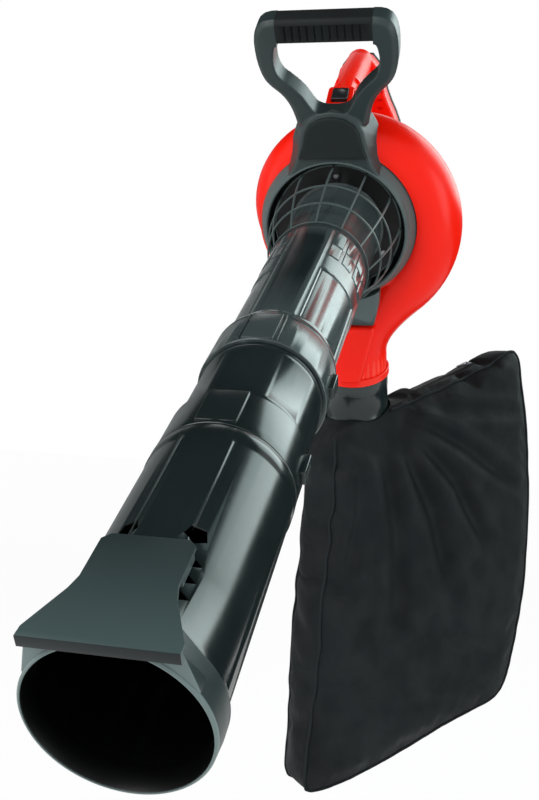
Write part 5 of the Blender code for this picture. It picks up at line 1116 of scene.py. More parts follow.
def volute_shells():
    """Both halves of the snail, drawn as one hollow body and parted across its middle."""
    whole = scroll_body("snail", 0.0)
    drum = drum_body("snail_drum", 0.0)
    flange = seated(turned("snail_flange", ((0.0500, -0.0110), (0.0517, -0.0110), (0.0525, -0.0102),
                                            (0.0525, -0.0008), (0.0517, 0.0), (0.0470, 0.0))), OUTLET)
    pad = drawn("snail_pad", ((0.052, -0.146), (0.028, -0.240), (-0.006, -0.240), (-0.030, -0.146)),
                SCROLL_AHEAD + 0.004, -0.006)
    back, front = SCROLL_AHEAD - 0.009, SCROLL_AHEAD + 0.009
    fused(whole, drum, flange, rounded(pad, 0.006, 5), pedestal_body("snail_pedestal", 0.0, 0.002),
          block("snail_web", (-0.030, -0.150, back), (0.005, -0.105, front), 0.0015),
          *[seated(rod("snail_boss", 0.0065, back, front, 24), Matrix.Translation((x, y, 0.0)))
            for x, y in boss_places()])
    carved(whole, rod("cover_seat", COVER_BACK_RADIUS + 2 * GAP, -COVER_DEPTH - GAP, 0.02, TUBE_STEPS),
           scroll_body("snail_air", -SHELL_WALL, OUTLET_END_UP - 0.010),
           drum_body("snail_room", -SHELL_WALL),
           rod("inlet_hole", 0.058, -COVER_DEPTH - 0.008, -COVER_DEPTH + 0.008, TUBE_STEPS),
           rod("shaft_hole", 0.0120, DRUM_BACK - 0.01, DRUM_BACK + 0.008),
           screw_hole_cutter("cover_hole", -COVER_DEPTH - 0.006, -COVER_DEPTH + 0.004, COVER_SCREW_SPOTS),
           screw_hole_cutter("boss_hole", back - 0.010, front + 0.010, boss_places()),
           seated(rod("spigot_seat", OUTLET_SECTION - SHELL_WALL, -0.0163, 0.01, TUBE_STEPS), OUTLET))
    other = twin(whole, "volute_front_moulding", Matrix())
    whole.name = "volute_rear_moulding"
    for shell, side, node in ((other, 1, "volute_front_shell"), (whole, -1, "volute_rear_shell")):
        parted(shell, (0.0, 0.0, SCROLL_AHEAD + side * GAP / 2), (0.0, 0.0, side))
        handed_over(shell, "housing", [node], RED, angle=28.0)


def outlet_collar():
    """Collar with a wide shallow groove, on a spigot in the outlet duct."""
    spigot = OUTLET_SECTION - SHELL_WALL - GAP
    collar = turned("outlet_collar_moulding", [
        (COLLAR_RADIUS - 0.003, GAP + COLLAR_LENGTH), (COLLAR_RADIUS, GAP + COLLAR_LENGTH),
        (COLLAR_RADIUS, 0.0600), (COLLAR_RADIUS - 0.0006, 0.0590), (COLLAR_RADIUS - 0.0006, 0.0200),
        (COLLAR_RADIUS, 0.0190), (COLLAR_RADIUS, GAP + 0.0008), (COLLAR_RADIUS - 0.0008, GAP),
        (spigot, GAP), (spigot, -0.0160), (spigot - 0.003, -0.0160), (spigot - 0.003, 0.0030),
        (COLLAR_RADIUS - 0.003, 0.0060)])
    handed_over(collar, "housing", ["outlet_collar"], BLACK, MACHINE @ OUTLET)


# Front handle

def cover_space():
    """Cutter with the intake cover's outer form."""
    front, back = COVER_FRONT_RADIUS + GAP, COVER_BACK_RADIUS + GAP
    return turned("cover_space", ((front, 0.004), (front, 0.0), (back, -COVER_DEPTH),
                                  (back, -COVER_DEPTH - 0.004)), closed=False)


def melted(piece, voxel, rounds):
    """Runs the parts of a moulding together with a soft fillet at every joint."""
    applied(piece, "REMESH", mode="VOXEL", voxel_size=voxel)
    applied(piece, "SMOOTH", factor=0.5, iterations=rounds)
    return piece


def front_handle():
    """D-frame and neck in one moulding, cut free of all that it meets."""
    front = FRAME_DEPTH / 2
    frame_body = drawn("front_handle_moulding", softened(mirrored(FRAME_OUTER), 2), -front, front)
    edges_bevelled(frame_body, lambda edge: min(corner.co.z for corner in edge.verts) > front - WELD,
                   0.0085, 1)
    carved(frame_body, drawn("frame_window", softened(mirrored(FRAME_INNER), 2), -0.03, 0.03))
    rounded(frame_body, 0.0030, 3)
    seated(frame_body, FRONT_FRAME)
    neck = lofted("neck", [(x, y, 0.0) for x, y in mirrored(NECK_FRONT)],
                  [(x, y, -0.046) for x, y in mirrored(NECK_BACK)])
    fused(frame_body, rounded(neck, 0.003, 3, 20.0))
    melted(frame_body, 0.0013, 4)
    grip_half = FRONT_GRIP_HALF_LENGTH + 0.0001
    sleeve = block("grip_space", (-grip_half, -0.030, -FRAME_DEPTH), (grip_half, 0.030, FRAME_DEPTH))
    carved(sleeve, seated(rod("front_bar", 0.010, -0.1, 0.1, 48), Matrix.Rotation(math.radians(90), 4, "Y")))
    seated(sleeve, FRONT_FRAME @ Matrix.Translation((0.0, GRIP_BAR_UP, 0.0)))
    room = 0.0004
    panel_room = [(x + room if x else x, y + room) for x, y in PANEL_HALF]
    carved(frame_body, sleeve, cover_space(), scroll_body("neck_scroll_space", GAP),
           drum_body("neck_drum_space", GAP), pedestal_body("neck_pedestal_space", GAP),
           drawn("panel_seat", mirrored(panel_room), -0.0012, 0.01))
    handed_over(frame_body, "housing", ["front_handle"], HANDLE_SLATE, angle=40.0)


def front_grip():
    """Sleeve whose front has rows of upright grooves between smooth ends."""
    half = FRONT_GRIP_HALF_LENGTH
    grip = block("front_grip_sleeve", (-half, -0.0163, -0.0155), (half, 0.0148, 0.0155))
    edges_bevelled(grip, lambda edge: abs(edge.verts[0].co.x - edge.verts[1].co.x) > half, 0.0062, 6)
    starts = [-0.0481 + 0.0092 * step for step in range(11)]
    grooves = [block("grip_groove", (start, -0.0150, 0.0138), (start + 0.0026, 0.0080, 0.025), 0.0007, 2)
               for start in starts]
    carved(grip, joined(grooves),
           seated(rod("grip_bore", 0.0103, -0.1, 0.1, 48), Matrix.Rotation(math.radians(90), 4, "Y")))
    rounded(grip, 0.0005, 2, 40.0)
    handed_over(grip, "housing", ["front_grip"], RUBBER,
                MACHINE @ FRONT_FRAME @ Matrix.Translation((0.0, GRIP_BAR_UP, 0.0)), 40.0)


def neck_panel():
    """Thin panel with a sunk middle, let into the neck's front."""
    panel = drawn("neck_panel_moulding", mirrored(PANEL_HALF), GAP, GAP + 0.003)
    rounded(panel, 0.0010, 3)
    faces_inset(panel, lambda face: face.normal.z > 0.98 and face.calc_area() > 0.0005, 0.0045, -0.0008)
    handed_over(panel, "housing", ["neck_panel"], PANEL)


# Main handle and switch

def motor_radius(ahead):
    """Radius of the motor's tapering barrel."""
    return mixed(0.082, 0.076, (BARREL_START - ahead) / (BARREL_START - WEB_BACK))


def motor_space():
    """Cutter with the barrel's form and a gap round it."""
    back = WEB_BACK - 0.010
    return turned("motor_space", ((motor_radius(BARREL_START) + GAP, BARREL_START),
                                  (motor_radius(back) + GAP, back)), closed=False)


def handle_screw_places():
    """Frames on the screws' seats in the left half, with Z out to the left."""
    turn = Matrix.Rotation(math.radians(-90), 4, "Y")
    return [Matrix.Translation((-0.012, up, ahead)) @ turn
            for ahead, up in ((-0.108, 0.160), (-0.236, 0.168))]


def main_handle():
    """Both halves of the handle with its rear web, drawn as one body and parted."""
    core_half = HANDLE_HALF_WIDTH - 0.0004
    whole = side_drawn("handle_bar", HANDLE_CORE, -core_half, core_half)
    rounded(whole, 0.0030, 4, 25.0)
    stations = [(Vector((ahead, up, 0.0)), HANDLE_HALF_WIDTH) for ahead, up in HANDLE_SPINE]
    spine = faces_outward(seated(swept("handle_spine", stations, 64), SIDE_VIEW))
    dome_ahead, dome_up = HANDLE_SPINE[-1]
    deselect()
    bpy.ops.mesh.primitive_uv_sphere_add(segments=64, ring_count=32, radius=HANDLE_HALF_WIDTH + 0.0004,
                                         location=(0.0, dome_up, dome_ahead))
    dome = closed_up(started("handle_dome"))
    back = seated(rod("handle_back", HANDLE_HALF_WIDTH, 0.062, dome_up, 64),
                  Matrix.Translation((0.0, 0.0, dome_ahead)) @ Matrix.Rotation(math.radians(-90), 4, "X"))
    fused(whole, spine, dome, back)
    carved(whole, *[seated(rod("handle_scallop", 0.0110, -0.017, 0.017, 40),
                           Matrix.Translation((side * 0.0215, 0.1722, -0.1240))
                           @ Matrix.Rotation(math.radians(7.5), 4, "X")) for side in (-1.0, 1.0)])
    web = drawn("handle_web", mirrored(WEB_HALF), WEB_BACK, -0.254)
    rounded(web, 0.0040, 4)
    slots = joined([block("web_slot", (side * 0.0300 - 0.0045, 0.088 + 0.012 * step, -0.2580),
                          (side * 0.0300 + 0.0045, 0.0925 + 0.012 * step, -0.250), 0.0010, 2)
                    for side in (-1.0, 1.0) for step in range(4)])
    fused(whole, carved(web, slots))
    sloping_face = block("sloping_face", (-0.038, -0.047, 0.0), (0.038, 0.0235, 0.038))
    pocket = block("module_pocket", (-0.0093, -0.0113, -0.0076), (0.0093, 0.0113, 0.01))
    carved(whole, seated(sloping_face, SWITCH_FACE), seated(pocket, SWITCH_FACE),
           joined([seated(rod("handle_hole", SCREW_HOLE_RADIUS, -0.0203, 0.01, 16), place)
                   for place in handle_screw_places()]),
           joined([seated(rod("handle_well", 0.0045, 0.0, 0.019, 24), place)
                   for place in handle_screw_places()]),
           motor_space())
    right = twin(whole, "main_handle_right_moulding", Matrix())
    whole.name = "main_handle_left_moulding"
    for half, side, node in ((right, 1, "main_handle_right"), (whole, -1, "main_handle_left")):
        parted(half, (side * GAP / 2, 0.0, 0.0), (side, 0.0, 0.0))
        handed_over(half, "housing", [node], RED, angle=30.0)


def grip_insert():
    """Soft strip under the bar, with grooves across it."""
    top = HANDLE_CORE[0][1] - GAP
    insert = block("grip_insert_strip", (-0.013, top - 0.003, GRIP_AHEAD - 0.052),
                   (0.013, top, GRIP_AHEAD + 0.052), 0.0012)
    grooves = [block("insert_groove", (-0.009, top - 0.004, GRIP_AHEAD - 0.0450 + 0.010 * step),
                     (0.009, top - 0.0022, GRIP_AHEAD - 0.0434 + 0.010 * step), 0.0003, 1)
               for step in range(10)]
    carved(insert, joined(grooves))
    handed_over(insert, "housing", ["grip_insert"], RUBBER)


def soft_cornered(name, low, high, corner, edge=0.0):
    """A box with wide round corners in X and Y, and small rounds on its other edges."""
    piece = block(name, low, high)
    tall = (high[2] - low[2]) / 2
    edges_bevelled(piece, lambda side: abs(side.verts[0].co.z - side.verts[1].co.z) > tall, corner, 6)
    return rounded(piece, edge, 3, 50.0) if edge else piece


def switch_bezel():
    """Frame round the thumb switch, on the handle's sloping face."""
    bezel = soft_cornered("switch_bezel_frame", (-0.0175, -0.0200, GAP), (0.0175, 0.0200, 0.0045),
                          0.0050, 0.0016)
    window = soft_cornered("bezel_window", (-0.0113, -0.0148, -0.01), (0.0113, 0.0148, 0.0145), 0.0036)
    carved(bezel, window)
    rounded(bezel, 0.0005, 2, 50.0)
    handed_over(bezel, "housing", ["switch_bezel"], RED, MACHINE @ SWITCH_FACE)


def power_switch():
    """Thumb switch with a round hollow for the thumb."""
    top = 0.0065
    switch = soft_cornered("power_switch_button", (-0.011, -0.012, GAP), (0.011, 0.012, top), 0.0032, 0.0010)
    dish, depth = 0.015, 0.0026
    centre = top + dish - depth
    bowl = [(dish * math.sin(turn), centre - dish * math.cos(turn))
            for turn in (math.radians(angle) for angle in (36, 32, 28, 24, 20, 16, 12, 8, 4, 1))]
    carved(switch, turned("thumb_dish", [(0.012, 0.02), *bowl], 48, closed=False))
    rounded(switch, 0.0003, 2, 20.0)
    handed_over(switch, "thumb_switch", ["power_switch"], BUTTON,
                MACHINE @ SWITCH_FACE @ Matrix.Translation((0.0, SWITCH_TRAVEL / 2, 0.0)))


# Motor housing, rear cover and cord inlet

def motor_housing():
    """Housing of the motor: a flange on the snail, and a barrel with three grooves."""
    front = DRUM_BACK - GAP
    barrel = front - 0.006
    start, end = motor_radius(barrel), motor_radius(WEB_BACK)
    corners = [(0.012, front), (0.0955, front), (0.096, front - 0.0005), (0.096, barrel + 0.0015),
               (0.0945, barrel), (start + 0.004, barrel), (start + 0.0012, barrel - 0.0012),
               (start, barrel - 0.004)]
    for ahead in (-0.150, -0.210, -0.270):
        radius = motor_radius(ahead)
        corners += [(radius, ahead + 0.002), (radius - 0.0009, ahead + 0.0012),
                    (radius - 0.0009, ahead - 0.0012), (radius, ahead - 0.002)]
    corners += [(end, WEB_BACK + 0.001), (end - 0.001, WEB_BACK), (end - 0.003, WEB_BACK),
                (start - 0.003, barrel), (0.012, barrel)]
    handed_over(turned("motor_housing_moulding", corners), "housing", ["motor_housing"], RED)


def rear_cover():
    """Flat cover behind barrel and handle, with a row of vents and the cord's hole."""
    proud = 0.0012
    radius = motor_radius(WEB_BACK) + proud
    meeting = math.acos((WEB_HALF[1][0] + proud) / radius)
    arc = [polar(radius, mixed(math.radians(-90), meeting, step / 30)) for step in range(1, 31)]
    half = ((0.0, -radius), *arc, *[(x + proud, y) for x, y in WEB_HALF[1:]])
    back = WEB_BACK - GAP - REAR_COVER_THICKNESS
    cover = drawn("rear_cover_moulding", mirrored(half), back, WEB_BACK - GAP)
    rounded(cover, 0.0022, 4)
    slots = joined([block("vent", (-0.048, step * 0.012 - 0.0025, back - 0.01),
                          (0.048, step * 0.012 + 0.0025, WEB_BACK + 0.01)) for step in range(-3, 4)])
    hole = rod("inlet_hole", 0.00615, back - 0.01, WEB_BACK, 32)
    carved(cover, slots, seated(hole, Matrix.Translation((0.0, CORD_INLET_UP, 0.0))))
    rounded(cover, 0.0005, 2, 60.0)
    handed_over(cover, "housing", ["rear_cover"], BLACK)


def cord_inlet():
    """Stepped gland in the rear cover."""
    front = WEB_BACK - 2 * GAP
    seat = front - REAR_COVER_THICKNESS
    gland = turned("cord_inlet_gland", [
        (0.004, front), (0.00585, front), (0.00585, seat), (0.0085, seat),
        (0.009, seat - 0.0006), (0.009, seat - 0.0045), (0.0084, seat - 0.0052), (0.0084, seat - 0.0064),
        (0.0081, seat - 0.0070), (0.0078, seat - 0.0082), (0.0076, seat - 0.0088), (0.0073, seat - 0.0100),
        (0.0070, seat - 0.0134), (0.0064, seat - 0.014), (0.004, seat - 0.014)], 48)
    handed_over(gland, "housing", ["cord_inlet"], RUBBER,
                MACHINE @ Matrix.Translation((0.0, CORD_INLET_UP, 0.0)))


# Bag

def bezier(points, share):
    """A spot on a curve with two end points and two handles between them."""
    rest = 1.0 - share
    weights = (rest ** 3, 3 * rest ** 2 * share, 3 * rest * share ** 2, share ** 3)
    return Vector((sum(weight * point[0] for weight, point in zip(weights, points)),
                   sum(weight * point[1] for weight, point in zip(weights, points))))


def bag_point(across, height, depth):
    """A spot of the bag: across and height 0 to 1, depth -1 at its front to 1."""
    sides = bezier(BAG_LEFT, height) * (1 - across) + bezier(BAG_RIGHT, height) * across
    ends = bezier(BAG_BOTTOM, across) * (1 - height) + bezier(BAG_TOP, across) * height
    low = Vector(BAG_BOTTOM[0]) * (1 - across) + Vector(BAG_BOTTOM[3]) * across
    high = Vector(BAG_TOP[0]) * (1 - across) + Vector(BAG_TOP[3]) * across
    spot = sides + ends - low * (1 - height) - high * height
    fullness = (1 - across ** 2) * min(1.0, 0.30 + 2.0 * height)
    half = mixed(BAG_EDGE_HALF_THICKNESS, BAG_HALF_THICKNESS, fullness)
    return Vector((spot.x, depth * half, spot.y))


BAG_PLACE = (BAG_FRAME.inverted() @ MACHINE @ OUTLET
             @ Matrix.Translation((0.0, 0.0, GAP + COLLAR_LENGTH)))
# Folds of the front: (x, z) from the cuff or seam, their half width and how deep they fall in
FRONT_FOLDS = (
    (((0.040, -0.030), (0.115, -0.150), (0.165, -0.300)), 0.015, 0.013),
    (((0.055, -0.020), (0.160, -0.110), (0.235, -0.230)), 0.012, 0.012),
    (((0.050, 0.000), (0.170, -0.050), (0.290, -0.120)), 0.011, 0.010),
    (((0.060, 0.015), (0.180, 0.010), (0.285, 0.010)), 0.010, 0.008),
    (((0.015, -0.050), (0.050, -0.190), (0.060, -0.360)), 0.014, 0.010),
    (((-0.020, -0.060), (-0.020, -0.160), (-0.045, -0.300)), 0.012, 0.008),
    (((0.100, -0.330), (0.190, -0.380), (0.270, -0.400)), 0.018, 0.008),
    (((0.000, -0.430), (0.080, -0.470), (0.180, -0.460)), 0.016, 0.006),
)
# Creases of the left side: height, slope across it and how deep they fall in
SIDE_FOLDS = ((-0.120, 0.55, 0.0030), (-0.215, -0.45, 0.0035), (-0.330, 0.60, 0.0030),
              (-0.440, -0.35, 0.0030))


def off_line(x, z, line):
    """Distance of a spot from a line of corners, and how far along it lies, 0 to 1."""
    best, along = 1.0, 0.0
    for index, (start, end) in enumerate(zip(line, line[1:])):
        run = Vector(end) - Vector(start)
        share = max(0.0, min(1.0, (Vector((x, z)) - Vector(start)).dot(run) / run.length_squared))
        gap = (Vector((x, z)) - Vector(start) - run * share).length
        if gap < best:
            best, along = gap, (index + share) / (len(line) - 1)
    return best, along


def bag_cage():
    """Lofted shell from its own curves, before the cloth is blown up."""
    deselect()
    bpy.ops.mesh.primitive_cube_add(size=1.0)
    bag = started("bag_cloth_shell")
    bpy.ops.mesh.subdivide(number_cuts=9)
    bpy.ops.object.mode_set(mode="OBJECT")
    for corner in bag.data.vertices:
        across, depth, height = corner.co.x + 0.5, corner.co.y * 2.0, corner.co.z + 0.5
        spot = bag_point(across, height, depth)
        corner.co = Vector((spot.x, spot.y * 0.93, spot.z))
    applied(bag, "SUBSURF", levels=2, render_levels=2)
    cuff = seated(rod("bag_cuff", COLLAR_RADIUS + 0.0045, -0.012, 0.050, 64), BAG_PLACE)
    fused(bag, cuff)
    applied(bag, "REMESH", mode="VOXEL", voxel_size=0.0055)
    return bag


def on_cuff(spot, height):
    """Whether a spot lies on the cuff, up to a height along the collar."""
    from_collar = BAG_PLACE.inverted() @ spot
    return from_collar.z < height and from_collar.xy.length < CUFF_REACH


def blown_up(bag):
    """Lets the cloth fill with air, and keeps every spot near where it was."""
    before = [corner.co.copy() for corner in bag.data.vertices]
    take(bag)
    held = bag.vertex_groups.new(name="held")
    near = [corner.index for corner in bag.data.vertices if on_cuff(corner.co, 0.040)]
    held.add(near, 1.0, "REPLACE")
    cloth = bag.modifiers.new("cloth", "CLOTH")
    cloth.settings.quality = 6
    cloth.settings.mass = 0.25
    cloth.settings.use_pressure = True
    cloth.settings.uniform_pressure_force = 4.0
    cloth.settings.tension_stiffness = 25.0
    cloth.settings.compression_stiffness = 6.0
    cloth.settings.bending_stiffness = 0.8
    cloth.settings.vertex_group_mass = "held"
    cloth.settings.effector_weights.gravity = 0.0
    cloth.collision_settings.use_collision = False
    scene = bpy.context.scene
    for step in range(1, 21):
        scene.frame_set(step)
    bpy.ops.object.modifier_apply(modifier="cloth")
    scene.frame_set(1)
    bag.vertex_groups.clear()
    for corner, rest in zip(bag.data.vertices, before):
        moved = corner.co - rest
        if moved.length > CLOTH_REACH:
            corner.co = rest + moved.normalized() * CLOTH_REACH
    return bag


def folded(bag):
    """Pleats that fan out from the cuff, soft dents and creases across the side."""
    for corner in bag.data.vertices:
        x, y, z = corner.co
        if on_cuff(corner.co, 0.036):
            continue
        push = 0.0
        for line, width, depth in FRONT_FOLDS:
            gap, along = off_line(x, z, line)
            fade = min(1.0, 8.0 * along, 3.5 * (1.0 - along) + 0.15)
            push += depth * fade * math.exp(-(gap / width) ** 2)
            push -= 0.45 * depth * fade * math.exp(-((gap - 2.0 * width) / width) ** 2)
        face = min(1.0, abs(y) / 0.030)
        corner.co.y += (1.0 if y < 0.0 else -1.0) * push * face
        side = 0.0
        for height, slope, depth in SIDE_FOLDS:
            gap = abs(z - height - slope * y)
            side += depth * math.exp(-(gap / 0.014) ** 2)
            side -= 0.4 * depth * math.exp(-((gap - 0.030) / 0.015) ** 2)
        if x < -0.045:
            corner.co.x += side * min(1.0, (-0.045 - x) / 0.02)
        drift = Vector((x, y * 1.5, z)) * 11.0
        corner.co += Vector((noise.noise(drift), noise.noise(drift + Vector((7.0, 3.0, 1.0))),
                             0.4 * noise.noise(drift + Vector((2.0, 9.0, 4.0))))) * 0.0035
    return bag


def cloth_map(piece):
    """Cloth coordinates in metres: width and height on the panels, depth and height on the gusset."""
    layer = piece.data.uv_layers.new(name="cloth")
    for face in piece.data.polygons:
        on_gusset = abs(face.normal.x) > abs(face.normal.y)
        for loop in face.loop_indices:
            spot = piece.data.vertices[piece.data.loops[loop].vertex_index].co
            layer.data[loop].uv = (spot.y if on_gusset else spot.x, spot.z)


def bag_body():
    """The bag's cloth, with its seats for the mouth ring and the zip."""
    bag = folded(blown_up(bag_cage()))
    applied(bag, "SMOOTH", factor=0.5, iterations=2)
    applied(bag, "SUBSURF", levels=1, render_levels=1)
    seat = seated(block("zip_seat", (-0.018, -0.028, 0.0), (0.122, 0.028, 0.05)), ZIP_PLACE)
    pocket = rod("bag_pocket", COLLAR_RADIUS + BAG_BAND_WALL + GAP, -0.05, 0.0089, TUBE_STEPS)
    carved(bag, seated(pocket, BAG_PLACE), seat)
    cloth_map(bag)
    return bag


def piping(name, bag, spots):
    """Binding along a seam, laid on the cloth."""
    laid = []
    for spot in spots:
        _, place, normal, _ = bag.closest_point_on_mesh(spot)
        laid.append(place + normal * SEAM_THICKNESS * 0.35)
    flowing = [laid[0]]
    for before, spot, after in zip(laid, laid[1:], laid[2:]):
        flowing.append((before + spot * 2.0 + after) / 4.0)
    flowing.append(laid[-1])
    deselect()
    bpy.ops.mesh.primitive_plane_add(size=0.0001, location=flowing[0])
    cord = started(name)
    bpy.ops.mesh.merge(type="CENTER")
    for start, end in zip(flowing, flowing[1:]):
        bpy.ops.mesh.extrude_vertices_move(TRANSFORM_OT_translate={"value": tuple(end - start)})
    leave()
    bpy.ops.object.convert(target="CURVE")
    cord = bpy.context.active_object
    cord.data.bevel_depth = SEAM_THICKNESS / 2
    cord.data.bevel_resolution = 2
    cord.data.use_fill_caps = True
    bpy.ops.object.convert(target="MESH")
    cord = bpy.context.active_object
    cord.name = name
    return cord


def bag_with_seams():
    """The bag with a binding along each edge of its front and back panels."""
    bag = bag_body()
    shares = [step / SEAM_STEPS for step in range(SEAM_STEPS + 1)]
    depths = {"front": -1.0, "back": 1.0}
    runs = {"left": ((0.0, 0.97), (0.0, 0.0)), "bottom": ((0.0, 0.0), (1.0, 0.0)),
            "right": ((1.0, 0.0), (1.0, 1.0)), "top": ((0.30, 1.0), (1.0, 1.0))}
    cords = []
    for seam in ("front_left", "front_bottom", "front_right", "back_left",
                 "back_bottom", "back_right", "front_top", "back_top"):
        side, edge = seam.split("_")
        start, end = runs[edge]
        spots = [bag_point(mixed(start[0], end[0], share), mixed(start[1], end[1], share), depths[side])
                 for share in shares]
        cords.append(piping(f"bag_seam_{seam}", bag, spots))
    handed_over(bag, "housing", ["bag_body"], CLOTH, BAG_FRAME, 60.0)
    for cord in cords:
        handed_over(cord, "housing", [], PIPING, BAG_FRAME, 60.0)


def bag_mouth_ring():
    """Band that holds the cuff on the collar."""
    inner, outer = COLLAR_RADIUS, COLLAR_RADIUS + BAG_BAND_WALL
    ring = turned("bag_mouth_band", ((inner, 0.0083), (outer - 0.0006, 0.0083), (outer, 0.0077),
                                     (outer, 0.0009), (outer - 0.0006, GAP), (inner, GAP)))
    handed_over(ring, "housing", ["bag_mouth_ring"], BLACK, BAG_FRAME @ BAG_PLACE)


def bag_zip():
    """Zip tape and its two rows of teeth."""
    tape = block("bag_zip_tape", (0.0, -0.005, GAP), (ZIP_LENGTH, 0.005, GAP + 0.0009), 0.0003, 1)
    tooth = block("zip_tooth", (0.0020, -0.0016, GAP + 0.0006), (0.0034, 0.0003, GAP + 0.0020), 0.0003, 1)
    other = twin(tooth, "zip_tooth_back", Matrix.Translation((0.0013, 0.0013, 0.0)))
    teeth = joined([tooth, other])
    applied(teeth, "ARRAY", count=43, use_relative_offset=False, use_constant_offset=True,
            constant_offset_displace=(0.0026, 0.0, 0.0))
    handed_over(tape, "housing", ["bag_zip"], ZIP_TAPE, BAG_FRAME @ ZIP_PLACE)
    handed_over(teeth, "housing", [], BUTTON, BAG_FRAME @ ZIP_PLACE)


def zip_runner():
    """Slider with its bridge, and the pull tab that swings on it."""
    runner = BAG_FRAME @ ZIP_PLACE @ Matrix.Translation((ZIP_LENGTH - 0.010, 0.0, 2 * GAP + 0.002))
    body = block("zip_slider_body", (-0.005, -0.0045, 0.0), (0.005, 0.0045, 0.0022), 0.0009)
    bridge = block("slider_bridge", (-0.0028, -0.0012, 0.0015), (0.0028, 0.0012, 0.0035), 0.0008)
    fused(body, bridge)
    handed_over(body, "slider", ["zip_slider"], ZINC, runner)
    outline = softened(((0.0, -0.003), (-0.022, -0.0021), (-0.022, 0.0021), (0.0, 0.003)), 2)
    pull = drawn("zip_pull_tab", outline, -0.0006, 0.0006)
    eye = rod("pull_eye", 0.0012, -0.01, 0.01, 24)
    carved(pull, seated(eye, Matrix.Translation((-0.0185, 0.0, 0.0))))
    rounded(pull, 0.0003, 2)
    handed_over(pull, "pull_tab", ["zip_pull"], ZINC,
                runner @ Matrix.Translation((0.0, 0.0, 0.0035 + 0.0009)))


# CAD pieces that keep their shape

CAD_FINISHES = (
    (ZINC, ("cover_screw_1", "cover_screw_2", "cover_screw_3", "housing_screw_1", "housing_screw_2",
            "housing_screw_3", "handle_screw_1", "handle_screw_2")),
    (NYLON, ("switch_module",)),
    (STEEL, ("motor_can", "rear_bracket", "front_bearing", "rear_bearing", "motor_shaft", "shredder_blade",
             "impeller_nut", "fan_spacer")),
    (SPRING, ("brush_spring_left", "brush_spring_right")),
    (ALLOY, ("impeller", "cooling_fan")),
    (LAMINATION, ("stator_core", "armature_core")),
    (COPPER, ("field_coil_upper", "field_coil_lower", "armature_windings", "commutator",
              "brush_holder_left", "brush_holder_right")),
    (CARBON, ("carbon_brush_left", "carbon_brush_right")),
)


def finish_cad_pieces():
    for material, names in CAD_FINISHES:
        for name in names:
            for holder in NODES[name].material_slots:
                holder.material = material


# Stage, lamps and camera

def emptied_tree(holder):
    holder.use_nodes = True
    holder.node_tree.nodes.clear()
    return holder.node_tree


def seen_plainly(tree):
    """1 for the camera's rays and for their mirrored and clear ones, 0 for the light's."""
    rays = tree.nodes.new("ShaderNodeLightPath")
    seen = rays.outputs["Is Camera Ray"]
    for kind in ("Is Glossy Ray", "Is Transmission Ray"):
        either = tree.nodes.new("ShaderNodeMath")
        either.operation = "MAXIMUM"
        tree.links.new(seen, either.inputs[0])
        tree.links.new(rays.outputs[kind], either.inputs[1])
        seen = either.outputs[0]
    return seen


def mixed_surface(tree, share, lit, seen, output):
    """Shows one shader to the light and the other, by a share, to what looks on."""
    mix = tree.nodes.new("ShaderNodeMixShader")
    tree.links.new(share, mix.inputs["Fac"])
    tree.links.new(lit.outputs[0], mix.inputs[1])
    tree.links.new(seen.outputs[0], mix.inputs[2])
    tree.links.new(mix.outputs[0], tree.nodes.new(output).inputs["Surface"])


def studio_floor_paint():
    """Pale paint that shows white to the camera and keeps a part of its shadows."""
    material = bpy.data.materials.new("studio floor")
    tree = emptied_tree(material)
    paint = tree.nodes.new("ShaderNodeBsdfDiffuse")
    paint.inputs["Color"].default_value = (0.92, 0.92, 0.92, 1.0)
    glow = tree.nodes.new("ShaderNodeEmission")
    glow.inputs["Strength"].default_value = 1.0
    share = tree.nodes.new("ShaderNodeMath")
    share.operation = "MULTIPLY"
    share.inputs[1].default_value = 0.95
    tree.links.new(seen_plainly(tree), share.inputs[0])
    mixed_surface(tree, share.outputs[0], paint, glow, "ShaderNodeOutputMaterial")
    return material


def make_floor():
    """Floor well below the hanging bag."""
    deselect()
    lowest = CAD_LOW[2] - 0.25
    bpy.ops.mesh.primitive_plane_add(size=14.0, location=(0.0, 2.0, lowest))
    floor = bpy.context.active_object
    floor.name = "studio_floor"
    bpy.ops.object.transform_apply()
    floor.data.materials.append(studio_floor_paint())


def lamp(name, place, target, width, height, radiance, colour=(1.0, 1.0, 1.0)):
    """A soft box of a given radiance that faces its target."""
    deselect()
    bpy.ops.object.light_add(type="AREA", location=place)
    box = bpy.context.active_object
    box.name = name
    box.data.shape = "RECTANGLE"
    box.data.size = width
    box.data.size_y = height
    box.data.energy = radiance * math.pi * width * height
    box.data.color = colour
    aim = Vector(target) - Vector(place)
    box.rotation_euler = aim.to_track_quat("-Z", "Y").to_euler()


def flag(name, place, facing, width, height, shade):
    """A dark card beside the lamps, out of the camera's sight, that shapes the gloss."""
    deselect()
    bpy.ops.mesh.primitive_plane_add(size=1.0)
    card = bpy.context.active_object
    card.name = name
    turn = facing.to_track_quat("Z", "Y").to_matrix().to_4x4()
    card.matrix_world = Matrix.Translation(place) @ turn @ Matrix.Diagonal((width, height, 1.0, 1.0))
    bpy.ops.object.transform_apply()
    card.visible_camera = False
    cloth = bpy.data.materials.new(name)
    cloth.use_nodes = True
    dye = cloth.node_tree.nodes["Principled BSDF"]
    dye.inputs["Base Color"].default_value = (shade, shade, shade, 1.0)
    dye.inputs["Roughness"].default_value = 1.0
    dye.inputs["Specular IOR Level"].default_value = 0.0
    card.data.materials.append(cloth)


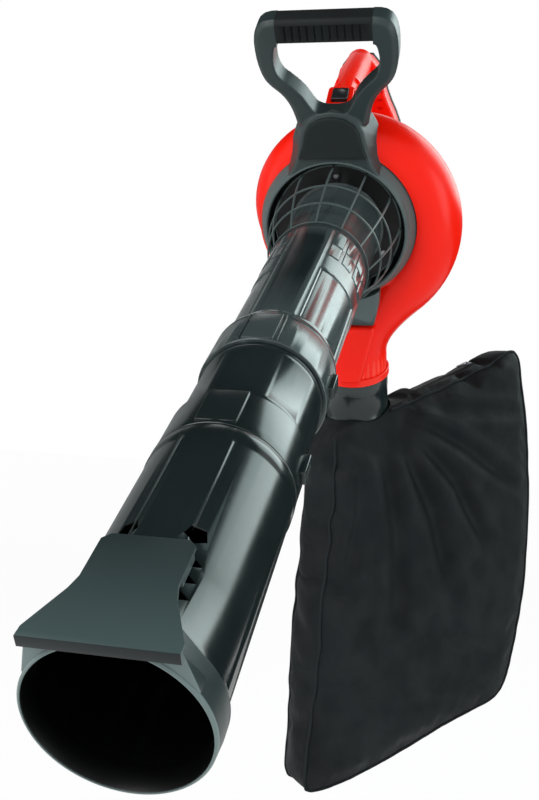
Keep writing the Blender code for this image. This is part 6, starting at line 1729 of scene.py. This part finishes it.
def make_lamps():
    """Boxes that draw the gloss along the tube, and cards that keep its other sides dark."""
    middle = (Vector(CAD_LOW) + Vector(CAD_HIGH)) / 2
    lamp("front box", middle + Vector((-1.4, -2.2, 2.0)), middle, 2.2, 2.2, 4.5)
    lamp("band box", middle + Vector((1.30, 1.40, 1.45)), middle, 1.60, 1.50, 4.4, (0.80, 1.0, 0.98))
    lamp("right box", middle + Vector((2.7, -0.6, 0.0)), middle, 1.2, 2.0, 3.2, (0.88, 1.0, 1.0))
    lamp("left box", middle + Vector((-2.6, -0.5, -0.1)), middle, 0.8, 1.8, 1.2)
    down, in_from_right, in_from_left = (Vector(facing) for facing in (
        (0.0, 0.0, -1.0), (-0.766, -0.643, 0.0), (0.85, -0.53, 0.0)))
    flag("top flag", middle + Vector((0.0, 0.0, 2.6)), down, 4.7, 4.7, 0.02)
    flag("right flag", middle + Vector((2.55, 2.15, -0.10)), in_from_right, 5.6, 2.3, 0.02)
    flag("left flag", middle + Vector((-2.5, 1.55, 0.35)), in_from_left, 4.2, 2.7, 0.45)
    flag("upper left flag", middle + Vector((-2.5, 1.55, 2.35)), in_from_left, 4.2, 1.3, 0.02)


def make_air():
    """Pale air that lights the machine, and is plain white to the camera."""
    world = bpy.data.worlds.new("studio air")
    bpy.context.scene.world = world
    tree = emptied_tree(world)
    air, white = (tree.nodes.new("ShaderNodeBackground") for _ in range(2))
    for background, strength in ((air, 0.75), (white, 1.0)):
        background.inputs["Color"].default_value = (1.0, 1.0, 1.0, 1.0)
        background.inputs["Strength"].default_value = strength
    mixed_surface(tree, seen_plainly(tree), air, white, "ShaderNodeOutputWorld")


def make_camera():
    """Stands where the photograph was taken from, with its angle of view."""
    deselect()
    bpy.ops.object.camera_add()
    camera = bpy.context.active_object
    camera.name = "photo view"
    camera.matrix_world = Matrix(((0.97401, -0.052235, 0.2204, 0.224498),
                                  (0.220816, 0.002256, -0.975313, -1.418752),
                                  (0.050448, 0.998632, 0.013732, -0.446099),
                                  (0.0, 0.0, 0.0, 1.0)))
    camera.data.sensor_fit = "VERTICAL"
    camera.data.sensor_height = 36.0
    camera.data.lens = 45.0
    camera.data.clip_start = 0.01
    bpy.context.scene.camera = camera


# The leaf blower vacuum

upper_tube()
middle_tube()
lower_tube()
nozzle_ring()
scraper_plate()
tube_catch("upper_catch_button", "tube_catch_upper", UPPER_CATCH_AHEAD, "upper_catch")
tube_catch("lower_catch_button", "tube_catch_lower", LOWER_CATCH_AHEAD, "lower_catch")
intake_cover()
intake_guard()
volute_shells()
outlet_collar()
front_handle()
front_grip()
neck_panel()
main_handle()
grip_insert()
switch_bezel()
power_switch()
motor_housing()
rear_cover()
cord_inlet()
bag_with_seams()
bag_mouth_ring()
bag_zip()
zip_runner()
finish_cad_pieces()

make_floor()
make_lamps()
make_air()
make_camera()
bpy.context.scene.view_settings.view_transform = "Standard"
